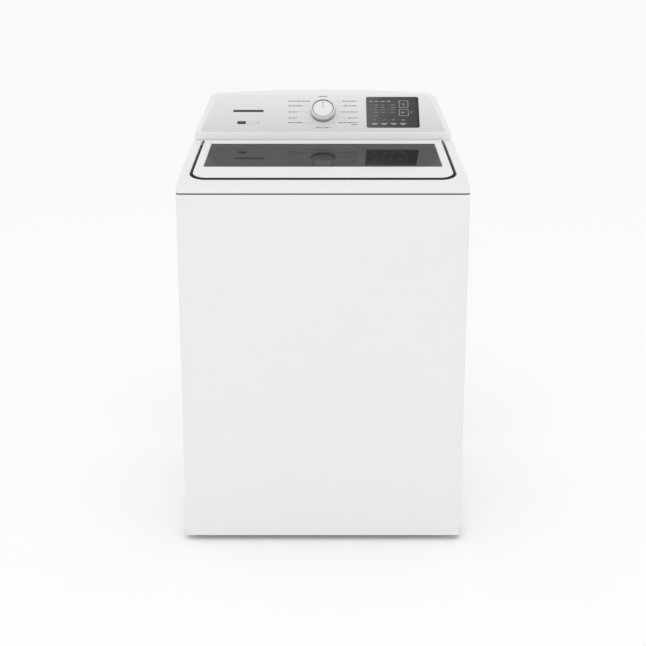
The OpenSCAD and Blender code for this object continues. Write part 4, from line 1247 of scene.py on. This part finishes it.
# ---------------------------------------------------------------- lid frame
# The moulded frame of the lid carries on the worktop's curve. Its inner edge falls in
# a small bevel to the glass that is bonded under it, and a rubber seal is let into
# its outer edge. The seal's near-black colour, darker than the other rubber, is painted
# shadow that darkens the gap round the lid.
glass_low, glass_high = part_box("lid_glass")
glass_lap = 0.0055
seal_box = (lid_high.x, lid_low.y, lid_high.y, lid_corner, 0.003)
lid_box = (lid_high.x - 0.0034, lid_low.y + 0.0060, lid_high.y, lid_corner - 0.002, 0.003)
window_box = (glass_high.x - glass_lap, glass_low.y + glass_lap, glass_high.y - glass_lap,
              0.0012, 0.0012)
lid_edge = 0.0010
seal_depth, seal_drop = 0.0025, 0.0045
lid_rings = [draped(outline(*lid_box, grow=-lid_edge * (1 - cos(a))),
                    lid_edge * (1 - sin(a))) for a in quarter]
lid_inside = outline(*lid_box, grow=-lid_edge)
rim = outline(*window_box, grow=0.0050)
for share in (0.04, 0.10, 0.17, 0.25, 0.34, 0.44, 0.54, 0.64, 0.74, 0.83, 0.91, 0.97, 1.0):
    lid_rings.append(draped(between(lid_inside, rim, share)))
for grow, drop in ((0.0042, 0.0002), (0.0030, 0.0007), (0.0010, 0.0014), (0.0004, 0.0016),
                   (0.0, 0.0019), (0.0, 0.0028), (0.0015, 0.0040)):
    lid_rings.append(draped(outline(*window_box, grow=grow), drop))
lid_rings += [under(outline(*box, grow=grow), lid_thick - rise) for box, grow, rise in (
    (window_box, 0.010, 0.004), (window_box, 0.0125, 0), (lid_box, -0.0030, 0),
    (lid_box, -0.0008, 0.0006), (lid_box, -0.0002, 0.0020))]


def seal_line(box, grow, drop):
    """Under the sloping line, but never above the nose's own curve."""
    return [(x, y, min(line_height(y) - drop, top_surface(x, y) - lid_edge - 0.0002))
            for x, y in outline(*box, grow=grow)]


seal_foot = lid_thick - seal_drop
lid_rings += [seal_line(lid_box, grow, drop) for grow, drop in (
    (-0.0002, seal_foot), (-seal_depth, seal_foot), (-seal_depth, 0.0012), (-0.0001, 0.0012))]
piece("lid_frame_moulding", loft(lid_rings, tied=True), white_plastic, "lid", "lid_frame")
seal_rings = [seal_line(*row) for row in (
    (lid_box, -seal_depth - 0.0003, seal_drop - 0.0034), (seal_box, -0.0008, seal_drop - 0.0034),
    (seal_box, 0, seal_drop - 0.0026), (seal_box, 0, seal_foot - 0.0004),
    (seal_box, -0.0006, seal_foot), (lid_box, -seal_depth - 0.0003, seal_foot))]
# Near-black rubber, darker than the other rubber: painted shadow that darkens the gap round the
# lid.
seal_rubber_and_gap_shade = moulded("seal_rubber_and_gap_shade", "black_rubber", (0.006, 0.006, 0.0065), 0.90)
piece("lid_edge_seal", loft(seal_rings, tied=True), seal_rubber_and_gap_shade, "lid", "lid_seal")

# ---------------------------------------------------------------- lid glass
# A pane of grey-tinted tempered glass, 4 mm thick, bonded under the frame's lip, with
# a fine ground edge.
glass = Finish("tinted_glass", "tinted_glass", (0.018, 0.0185, 0.020), 0.05, IOR=1.14, Alpha=0.92)
smear = glass.noise(3.0, 4.0, (1.0, 2.5, 1.0))
glass.set(Roughness=smear * 0.05 + 0.03)
glass.bump(glass.noise(9.0, 1.0), 0.010, 0.002)
glass.material.surface_render_method = "BLENDED"
pane_box = (glass_high.x, glass_low.y, glass_high.y, 0.003, 0.003)
pane = [under(outline(*pane_box, grow=grow), drop)
        for drop, grow in ((0.0060, -0.0004), (0.0056, 0.0), (0.0025, 0.0), (0.0021, -0.0004))]
piece("lid_glass_pane", loft(pane, caps=True), glass.material, "lid", "lid_glass")

# ---------------------------------------------------------------- lid liner
# A white tray screwed under the lid holds the glass up. Its rim is stiffened by a
# step, and it turns up to a lip all round the window.
liner_low, liner_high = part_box("lid_liner")
tray_box = (liner_high.x, liner_low.y, liner_high.y, 0.004, 0.004)
tray_lip = 0.014                # how far the tray reaches in past the frame's window
tray_window = (window_box[0] - tray_lip, window_box[1] + tray_lip, window_box[2] - tray_lip,
               0.012, 0.012)
tray = [under(outline(*box, grow=grow), drop) for box, grow, drop in (
    (tray_box, -0.0004, 0.0066), (tray_box, 0, lid_thick - 0.003),
    (tray_box, -0.0009, lid_thick - 0.0008), (tray_box, -0.0030, lid_thick - 0.0001),
    (tray_window, 0.0046, lid_thick - 0.0001), (tray_window, 0.0016, lid_thick - 0.0009),
    (tray_window, 0.0003, lid_thick - 0.0034), (tray_window, 0, 0.0064),
    (tray_window, 0.0020, 0.0064), (tray_window, 0.0026, lid_thick - 0.0028),
    (tray_box, -0.0030, lid_thick - 0.0028), (tray_box, -0.0026, 0.0066))]
piece("lid_liner_tray", loft(tray, tied=True), white_plastic, "lid", "lid_liner", smooth=40)
dress("lid_hinge_pins", brushed_steel)
dress("lid_strike", brushed_steel)

# ---------------------------------------------------------------- suspension
# Four steel rods hang from cups on the corner brackets. Each passes through an ear of
# the tub and ends in a foot that carries a wound spring.
rod_low, rod_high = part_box("suspension_rods")
spring_low, spring_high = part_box("suspension_springs")
rod_offset = rod_high.x - 0.018
rod_radius = 0.005
coil_radius, wire = 0.0135, 0.0024
coil_turns = 9
bracket_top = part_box("corner_brackets")[1].z
coil_steps = coil_turns * 18
rod_profile = (offset(0, rod_low.z, (0, 0), (0.0165, 0), (0.0180, 0.0015))
               + offset(0, spring_low.z, (0.0180, -0.001), (0.0172, 0),
                        (rod_radius + 0.001, 0), (rod_radius, 0.001))
               + offset(0, bracket_top, (rod_radius, 0), (0.0130, 0), (0.0128, 0.003))
               + offset(0, rod_high.z, (0.0090, -0.0006), (0.0070, 0), (0, 0)))
rods, coils = [], []
for sx, sy in four_corners:
    x, y = sx * rod_offset, sy * rod_offset
    rods.append(turned(rod_profile, 32, x, y))
    route = []
    for k in range(coil_steps + 1):
        share = k / coil_steps
        a = 2 * pi * share * coil_turns
        route.append(Vector((x + coil_radius * cos(a), y + coil_radius * sin(a),
                             spring_low.z + wire
                             + (spring_high.z - spring_low.z - 2 * wire) * share)))
    coils.append(sweep(route, lambda i: arc(0, 0, wire, 0, 315, 7)))
piece("suspension_rod_set", joined(rods), brushed_steel, "cabinet", "suspension_rods")
piece("suspension_coils", joined(coils), brushed_steel, "cabinet", "suspension_springs")

# ---------------------------------------------------------------- outer tub
# A moulded polypropylene drum, stiffened by rings outside, with four ears for the
# rods. A snap-on ring turns over its rim and narrows its mouth.
tub_plastic = moulded("tub_plastic", "tub_plastic", (0.60, 0.62, 0.63), 0.50, 300.0, 0.12)
tub_low, tub_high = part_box("outer_tub")
ring_low, ring_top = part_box("tub_ring")[0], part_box("tub_ring")[1].z
tub_radius, tub_wall, tub_floor = 0.285, 0.003, 0.006
outside = offset(0, tub_low.z, (0.0285, 0), (0.271, 0), (0.277, 0.002), (0.2825, 0.008))
for band in range(5):
    outside += offset(0, tub_low.z + 0.10 + band * 0.105, (0.2825, -0.006), (0.2847, -0.0045),
                      (tub_radius, -0.003), (tub_radius, 0.003), (0.2847, 0.0045),
                      (0.2825, 0.006))
outside += offset(0, tub_high.z, (0.2825, -0.020), (tub_radius, -0.016), (tub_radius, 0),
                  (tub_radius - tub_wall, 0), (0.2815, -0.02))
outside += offset(0, tub_low.z, (0.2815, 0.018), (0.276, 0.009), (0.268, tub_floor),
                  (0.0285, tub_floor), (0.0285, 0))
tub_parts = [turned(outside, 128)]
ear_reach = rod_offset * sqrt(2)
for quarter_turn in range(4):
    ear = block(tub_radius - 0.006, ear_reach + 0.024, -0.023, 0.023, 0.319, 0.329, 0.004)
    gussets = [block(tub_radius - 0.006, ear_reach - 0.020, s * 0.018 - 0.002,
                     s * 0.018 + 0.002, 0.327, 0.352, 0.0015) for s in both_sides]
    for part in [ear] + gussets:
        part.transform(Matrix.Rotation(radians(45 + 90 * quarter_turn), 4, "Z"))
        tub_parts.append(part)
piece("outer_tub_drum", joined(tub_parts), tub_plastic, "tub_unit", "outer_tub")
mouth = 0.236
cover_profile = offset(0, ring_low.z, (0.2853, 0), (0.2880, 0.0006))
cover_profile += offset(0, tub_high.z, (0.2880, 0.0015), (0.2865, 0.0030), (0.262, 0.0028),
                        (0.258, 0.0020), (0.246, 0.0020), (0.2415, 0.0040))
cover_profile += offset(0, ring_top, (0.2406, -0.0015), (0.2395, -0.0003),
                        (0.2375, -0.0003), (mouth, -0.0018))
cover_profile += offset(0, tub_high.z, (mouth, 0.0006), (mouth + 0.0008, 0.0001),
                        (tub_radius - 0.001, 0.0001), (0.2853, -0.001))
piece("tub_cover_ring", turned(cover_profile + cover_profile[:1], 144), tub_plastic,
      "tub_unit", "tub_ring", smooth=45)

# ---------------------------------------------------------------- drive
# Under the tub hang a cast gearcase with its bearings, the motor, a clutch actuator
# and a capacitor. A ribbed belt joins the two pulleys.
cast = Finish("cast_aluminium", "cast_aluminium", (0.50, 0.505, 0.51), 0.48, Metallic=0.9)
sand = cast.noise(160.0, 4.0)
cast.set(Roughness=sand * 0.2 + 0.40, Base_Color=cast.blend(sand, (0.42, 0.425, 0.43),
                                                            (0.60, 0.605, 0.61)))
cast.bump(sand, 0.12, 0.0005)
cast_aluminium = cast.material
case_low, case_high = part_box("gearcase")
case_profile = offset(0, case_low.z, (0.0172, 0), (0.0415, 0), (0.0438, 0.003),
                      (0.0438, 0.020), (0.0420, 0.024))
case_profile += offset(0, case_high.z, (0.0420, -0.026), (0.0440, -0.020), (0.0470, -0.0125),
                       (0.0860, -0.0120), (0.0878, -0.0105), (0.0878, -0.0062),
                       (0.0283, -0.0060), (0.0280, 0), (0.0200, 0))
case_profile += offset(0, case_low.z, (0.0200, 0.003), (0.0172, 0))


def fluted(low, high, depth, count):
    """A swell that cuts flutes into the part of a profile between two radii."""
    return lambda r, a, z: r - (depth * (0.5 - 0.5 * cos(count * a))
                                if low < r < high else 0)


piece("gearcase_casting", turned(case_profile, 96, swell=fluted(0.0418, 0.0422, 0.0016, 12)),
      cast_aluminium, "tub_unit", "gearcase", smooth=40)
dress("tub_bearings", brushed_steel)
dress("shift_actuator", white_nylon)
motor_low, motor_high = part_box("motor")
motor_axis = (motor_low.y + motor_high.y) / 2
motor_paint = enamel("motor_enamel", "zinc_steel", (0.055, 0.056, 0.060), 0.45)
motor_steel = offset(0, motor_low.z, (0.0078, 0), (0.020, 0), (0.022, 0.001), (0.046, 0.002),
                     (0.055, 0.006), (0.0572, 0.012), (0.0572, 0.024), (0.0552, 0.026),
                     (0.0552, 0.066), (0.0572, 0.068), (0.0576, 0.082), (0.0550, 0.089),
                     (0.048, 0.0918), (0.040, 0.092), (0.0398, 0.0985), (0.036, 0.100),
                     (0, 0.100))
motor_parts = [turned(motor_steel, 144, 0, motor_axis, lambda r, a, z: r - (
    0.0012 * (1 if cos(36 * a) > 0 else 0) if 0.0550 < r < 0.0554 else 0))]
boss = (offset(0, motor_low.z, (0, 0.066), (0.0058, 0.066), (0.0070, 0.070))
        + offset(0, motor_high.z, (0.0070, 0), (0, 0)))
boss_circle = 0.052
for corner in range(4):
    a = radians(45 + 90 * corner)
    motor_parts.append(turned(boss, 24, boss_circle * cos(a),
                              motor_axis + boss_circle * sin(a)))
piece("motor_frame", joined(motor_parts), motor_paint, "tub_unit", "motor")
can_low, can_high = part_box("run_capacitor")
can_x, can_y = (can_low.x + can_high.x) / 2, (can_low.y + can_high.y) / 2
can = (offset(0, can_low.z, (0, 0.0022), (0.0172, 0.0022), (0.0182, 0.0004), (0.0192, 0),
              (0.0200, 0.0010), (0.0196, 0.0035))
       + offset(0, can_high.z, (0.0196, -0.006), (0.0200, -0.003), (0.0194, 0), (0, 0)))
piece("run_capacitor_can", turned(can, 48, can_x, can_y), brushed_steel, "tub_unit",
      "run_capacitor")
pulley_low, pulley_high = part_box("driven_pulley")
small_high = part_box("motor_pulley")[1]
groove_foot, groove_head = pulley_low.z + 0.002, pulley_high.z - 0.002
belt_ribs, belt_pitch = 5, 0.0024


def grooved(radius):
    """The face of a pulley, with V grooves between two cheeks."""
    middle = (groove_foot + groove_head) / 2
    face = offset(radius, groove_foot, (0.0044, -0.0018), (0.0050, -0.0012),
                  (0.0046, -0.0002), (0, 0.0005))
    for rib in range(belt_ribs):
        z = middle + (rib - belt_ribs / 2) * belt_pitch
        face += [(radius, z + 0.0002), (radius - 0.0012, z + belt_pitch / 2),
                 (radius, z + belt_pitch - 0.0002)]
    return face + offset(radius, groove_head, (0, -0.0005), (0.0046, 0.0002),
                         (0.0050, 0.0012), (0.0044, 0.0018))


big_radius, small_radius, bore = 0.088, 0.012, 0.010
web = (groove_foot + groove_head) / 2
wheel = (grooved(big_radius) + [(0.080, groove_head + 0.0016), (0.0785, web + 0.0035),
                                (0.0760, web + 0.0022), (0.0270, web + 0.0022),
                                (0.0240, web + 0.0045), (0.0232, groove_head + 0.0012),
                                (bore, groove_head + 0.0016), (bore, groove_foot - 0.0016),
                                (0.0232, groove_foot - 0.0012), (0.0240, web - 0.0045),
                                (0.0270, web - 0.0022), (0.0760, web - 0.0022),
                                (0.0785, web - 0.0035), (0.080, groove_foot - 0.0016)])
piece("driven_pulley_wheel", turned(wheel + wheel[:1], 96), cast_aluminium,
      "agitator_unit", "driven_pulley", smooth=25)
spindle = ([(0, groove_foot - 0.0018)] + grooved(small_radius)
           + [(0.0072, groove_head + 0.0018), (0.0070, groove_head + 0.0024),
              (0.0070, small_high.z - 0.0006), (0.0064, small_high.z), (0, small_high.z)])
piece("motor_pulley_wheel", turned(spindle, 48, 0, motor_axis), cast_aluminium,
      "motor_rotor", "motor_pulley", smooth=25)
spread = degrees(asin((big_radius - small_radius) / motor_axis))
belt_line = ([Vector((x, y, web)) for x, y in arc(0, 0, big_radius + 0.0006,
                                                  180 - spread, 360 + spread, 60)]
             + [Vector((x, y, web)) for x, y in arc(0, motor_axis, small_radius + 0.0006,
                                                    spread, 180 - spread, 24)])
belt_section = [(0.0030, -0.0060), (0.0030, 0.0060)]
for rib in range(belt_ribs):
    z = 0.0060 - rib * belt_pitch
    belt_section += [(0.0009, z - 0.0001), (0.0001, z - belt_pitch / 2 + 0.0003),
                     (0.0001, z - belt_pitch / 2 - 0.0003)]
belt_section.append((0.0009, -0.0060))
belt_rings = []
for i, here in enumerate(belt_line):
    along = (belt_line[(i + 1) % len(belt_line)] - belt_line[i - 1]).normalized()
    outward = along.cross(Vector((0, 0, 1)))
    belt_rings.append([here + outward * a + Vector((0, 0, b)) for a, b in belt_section])
piece("drive_belt_loop", loft(belt_rings, tied=True), black_rubber, "tub_unit",
      "drive_belt", smooth=25)

# ---------------------------------------------------------------- drain pump and hose
# A magnetic pump under the tub's sump lifts the water through a corrugated hose to
# the spigot in the rear panel.
pump_low, pump_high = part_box("drain_pump")
pump_x, pump_y = -0.150, 0.120
pump_profile = (offset(0, pump_low.z, (0, 0), (0.022, 0), (0.0245, 0.002), (0.0250, 0.030),
                       (0.0345, 0.034), (0.0358, 0.037), (0.0358, 0.064), (0.0340, 0.0695),
                       (0.0262, 0.070))
                + offset(0, tub_low.z, (0.0258, -0.0006), (0.0160, -0.0004))
                + offset(0, pump_high.z, (0.0158, -0.0006), (0.0152, 0), (0.0122, 0),
                         (0.0120, -0.002))
                + offset(0, tub_low.z, (0.0120, -0.030), (0, -0.030)))
outlet = turned([(0, 0), (0.0105, 0), (0.0105, 0.034), (0.0110, 0.036), (0.0110, 0.043),
                 (0.0100, 0.0448), (0, 0.0448)], 32)
outlet.transform(Matrix.Translation((pump_x, pump_y + 0.020, tub_low.z - 0.050))
                 @ facing_back)
pump_body = turned(pump_profile, 72, pump_x, pump_y, fluted(0.0244, 0.0251, 0.0012, 18))
piece("drain_pump_body", joined([pump_body, tidy(outlet)]), dark_plastic, "tub_unit",
      "drain_pump", smooth=40)
drain_low, drain_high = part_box("drain_hose")
rise_y, run_z, exit_z = drain_high.y - 0.026, drain_low.z + 0.012, drain_high.z - 0.012
drain_route = rounded_route([(pump_x, pump_y + 0.066, run_z), (pump_x, rise_y, run_z),
                             (pump_x, rise_y, exit_z),
                             (pump_x, drain_high.y - 0.0005, exit_z)], 0.012, 0.006 / 6)
piece("drain_hose_run", corrugated(drain_route, 0.0119, 0.006), black_rubber, "cabinet",
      "drain_hose")

# ---------------------------------------------------------------- basket
# A spot-welded drum of stainless sheet, pierced all over with small holes, on a cast
# six-armed hub. A water-filled balance ring closes its rim.
stainless = metal("stainless_sheet", "stainless_steel", (0.62, 0.625, 0.63), 0.30,
                  (1, 1, 30), 60.0, 0.02)
basket_low, basket_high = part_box("basket")
basket_radius = basket_high.x
drum_sheet = 0.0009


def pierced_wall(work, size):
    """A drum wall of six-sided cells with a hole in each, staggered row by row."""
    wall = work.node("GeometryNodeMeshCylinder", {"fill_type": "NONE"}, {
        "Vertices": size["Columns"], "Side Segments": size["Rows"],
        "Radius": size["Radius"], "Depth": size["Height"]})
    where = work.node("GeometryNodeInputPosition")
    height = work.node("ShaderNodeSeparateXYZ", inputs={0: where}, output=2)
    twist = height / size["Height"] * size["Rows"] / size["Columns"] * pi
    spun = work.node("ShaderNodeVectorRotate", {"rotation_type": "Z_AXIS"},
                     {"Vector": where, "Angle": twist})
    wall = work.node("GeometryNodeSetPosition", inputs={"Geometry": wall, "Position": spun})
    wall = work.node("GeometryNodeTriangulate", {"quad_method": "FIXED"}, {0: wall})
    wall = work.node("GeometryNodeDualMesh", inputs={0: wall, 1: True})
    height = work.node("ShaderNodeSeparateXYZ", inputs={
        0: work.node("GeometryNodeInputPosition")}, output=2)
    margin = size["Height"] * 0.5 - size["Plain"]
    inside = height.below(margin) * height.above(0.0 - margin)
    push = work.tree.nodes.new("GeometryNodeExtrudeMesh")
    push.mode = "FACES"
    work.feed(push.inputs["Mesh"], wall)
    work.feed(push.inputs["Selection"], inside)
    work.feed(push.inputs["Offset Scale"], 0.0)
    work.feed(push.inputs["Individual"], True)
    cells, tops = Value(work, push.outputs["Mesh"]), Value(work, push.outputs["Top"])
    cells = work.node("GeometryNodeScaleElements", inputs={
        "Geometry": cells, "Selection": tops, "Scale": size["Hole"]})
    return work.node("GeometryNodeDeleteGeometry", {"domain": "FACE"}, {
        "Geometry": cells, "Selection": tops}), stainless


wall_mesh = modelled("pierced_basket_wall", pierced_wall, Columns=96, Rows=34,
                     Radius=basket_radius - 0.0002, Height=basket_high.z - basket_low.z
                     - 0.012, Plain=0.040, Hole=0.28)
wall_mesh.transform(Matrix.Translation((0, 0, (basket_high.z + basket_low.z + 0.012) / 2)))
wall = piece("basket_wall", wall_mesh, stainless, "basket_unit", smooth=60)
thicken(wall, drum_sheet)
dish_profile = offset(0, basket_low.z, (0.060, 0), (0.090, 0), (0.100, 0.003), (0.235, 0.003),
                      (0.250, 0.0022), (0.2585, 0.0045), (0.2612, 0.0125))
basket_floor = piece("basket_floor", turned(dish_profile, 96), stainless, "basket_unit",
                     "basket", smooth=45)
thicken(basket_floor, drum_sheet)
dress("basket_hub", cast_aluminium)
dress("drive_tube", brushed_steel)
balance_low, balance_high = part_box("balance_ring")
balance_grey = moulded("balance_ring_grey", "silver_grey_plastic", (0.62, 0.63, 0.64), 0.40)
balance = (offset(0, balance_low.z, (0.241, 0.004), (0.2395, 0.010), (0.2398, 0.018))
           + offset(0, balance_high.z, (0.2415, -0.002), (0.2445, 0), (0.263, 0),
                    (0.2668, -0.002), (0.2680, -0.006))
           + offset(0, balance_low.z, (0.2680, 0.006), (0.2660, 0.001), (0.2625, 0),
                    (0.245, 0), (0.2425, 0.0012), (0.241, 0.004)))
balance = [(max(r, balance_high.x - 0.028), z) for r, z in balance]
piece("balance_ring_moulding", turned(balance, 144), balance_grey, "basket_unit",
      "balance_ring", smooth=45)

# ---------------------------------------------------------------- agitator
# A moulded wash plate with six curved vanes and a post with spiral fins, held on the
# splined shaft by a screw under the grey cap.
plate_low, plate_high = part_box("wash_plate")
post_low, post_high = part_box("agitator_post")
cap_low, cap_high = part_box("agitator_cap")
plate_radius, post_radius = plate_high.x, 0.062


def plate_height(r, a):
    """Top of the wash plate: a shallow dish with six curved vanes."""
    share = (r - post_radius) / (plate_radius - post_radius)
    base = plate_low.z + 0.019 - 0.011 * min(max(share, 0.0), 1.0) ** 0.8
    lean = 0.55 * share
    off = remainder(a - lean, pi / 3) * r
    vane = exp(-(off / 0.0065) ** 2)
    start = min(max((r - post_radius) / 0.012, 0.0), 1.0)
    finish = min(max((plate_radius - 0.012 - r) / 0.030, 0.0), 1.0)
    crest_height = plate_low.z + 0.0275 - base - 0.004 * share
    return base + crest_height * vane * sin(start * pi / 2) * sin(
        finish * pi / 2)


plate_rings = []
radii = [0.0105, 0.030, 0.050] + [post_radius + 0.001 + (plate_radius - post_radius - 0.007)
                                  * k / 40 for k in range(41)]
for r in radii:
    plate_rings.append([(r * cos(a), r * sin(a), plate_height(r, a))
                        for a in around(288)])
for r, z in offset(plate_radius, plate_low.z, (-0.003, 0.0070), (-0.0006, 0.0045),
                   (0, 0.002), (-0.001, 0)) + [(0.0105, plate_low.z)]:
    plate_rings.append([(r * cos(a), r * sin(a), z) for a in around(288)])
piece("wash_plate_moulding", loft(plate_rings, tied=True), white_plastic,
      "agitator_unit", "wash_plate", smooth=60)


def finned(radius, a, z):
    """The post's skin: spiral fins that fade out at its foot and head."""
    share = (z - post_low.z) / (post_high.z - post_low.z)
    lean = 2.2 * share
    off = remainder(a - lean, pi / 3) * 0.05
    fade = min(share / 0.16, (1 - share) / 0.14, 1.0)
    if fade <= 0 or radius < 0.036:
        return radius
    return radius + 0.024 * sin(fade * pi / 2) * exp(-(off / 0.0042) ** 2)


post_profile = [(0.0105, post_low.z), (post_radius - 0.002, post_low.z),
                (post_radius, post_low.z + 0.0015)]
for k in range(1, 41):
    share = k / 40
    z = post_low.z + (post_high.z - post_low.z - 0.002) * share
    flare = max(1 - share / 0.2, 0.0)
    post_profile.append((0.0455 - 0.007 * share + (post_radius - 0.0455) * flare ** 2, z))
post_profile += offset(0, post_high.z, (0.0372, 0), (0.0345, 0), (0.0342, -0.02))
post_profile += offset(0, post_low.z, (0.0342, 0.004), (0.0105, 0.004), (0.0105, 0))
piece("agitator_post_moulding", turned(post_profile, 240, swell=finned), white_plastic,
      "agitator_unit", "agitator_post", smooth=60)
cap_profile = (offset(0, cap_high.z, (0, -0.004), (0.012, -0.004), (0.0165, -0.0012),
                      (0.0200, 0), (0.0235, -0.0010), (0.0315, -0.0075), (0.0362, -0.0125),
                      (0.0392, -0.0170))
               + offset(0, cap_low.z, (0.0388, 0.0122), (0.0336, 0.0120), (0.0334, 0.0006),
                        (0.0326, 0), (0, 0)))
cap_profile = [(min(r, cap_high.x), z) for r, z in cap_profile]
piece("agitator_cap_moulding", turned(cap_profile, 96), balance_grey, "agitator_unit",
      "agitator_cap", smooth=50)
dress("agitator_shaft", brushed_steel)

# ---------------------------------------------------------------- floor, light and camera
# A pale studio sweep, soft overhead and side light, and a camera a little above the
# machine, straight in front of it.
paper = Finish("studio_paper", "painted_white", (0.95, 0.95, 0.95), 0.90, IOR=1.2,
               Emission_Color=(1, 1, 1, 1), Emission_Strength=0.08)
floor_mesh = mesh_of([(-400, -400, 0), (400, -400, 0), (400, 400, 0), (-400, 400, 0)],
                     [(0, 1, 2, 3)])
floor_mesh.materials.append(paper.material)
placed("studio_floor", floor_mesh)

world = bpy.data.worlds.new("studio")
bpy.context.scene.world = world
world.use_nodes = True
sky = Nodes(world.node_tree)
lift = sky.node("ShaderNodeSeparateXYZ", inputs={0: sky.node("ShaderNodeTexCoord",
                                                            output="Generated")}, output=2)
shade = sky.node("ShaderNodeValToRGB", {"stops": [(0.0, (1.0, 1.0, 1.0)),
                                                  (0.15, (0.95, 0.95, 0.95)),
                                                  (0.55, (0.86, 0.86, 0.865)),
                                                  (1.0, (0.88, 0.88, 0.885))]}, {0: lift})
sky.feed(world.node_tree.nodes["Background"].inputs["Color"], shade)
world.node_tree.nodes["Background"].inputs["Strength"].default_value = 1.04
bpy.context.scene.view_settings.view_transform = "Standard"


def soft_light(name, place, aim, size, power):
    lamp = bpy.data.lights.new(name, "AREA")
    lamp.shape, lamp.size, lamp.size_y, lamp.energy = "RECTANGLE", size[0], size[1], power
    made = placed(name, lamp)
    made.location = place
    made.rotation_euler = (Vector(aim) - Vector(place)).to_track_quat("-Z", "Y").to_euler()


soft_light("overhead_softbox", (0.0, -0.6, 3.6), (0, 0, 0.8), (2.6, 2.0), 5)
soft_light("front_fill", (-0.9, -4.4, 2.3), (0, 0, 0.5), (2.6, 2.2), 8)

camera_distance, camera_height, camera_pitch = 2.850, 1.374, 14.8
focal = 1.890                   # focal length as a share of the frame's width
lens = bpy.data.cameras.new("studio_camera")
lens.sensor_width = 36.0
lens.lens = lens.sensor_width * focal
lens.shift_y = -0.03
camera = placed("studio_camera", lens)
camera.location = (0, cad_low.y - camera_distance, camera_height)
camera.rotation_euler = (radians(90 - camera_pitch), 0, 0)
bpy.context.scene.camera = camera
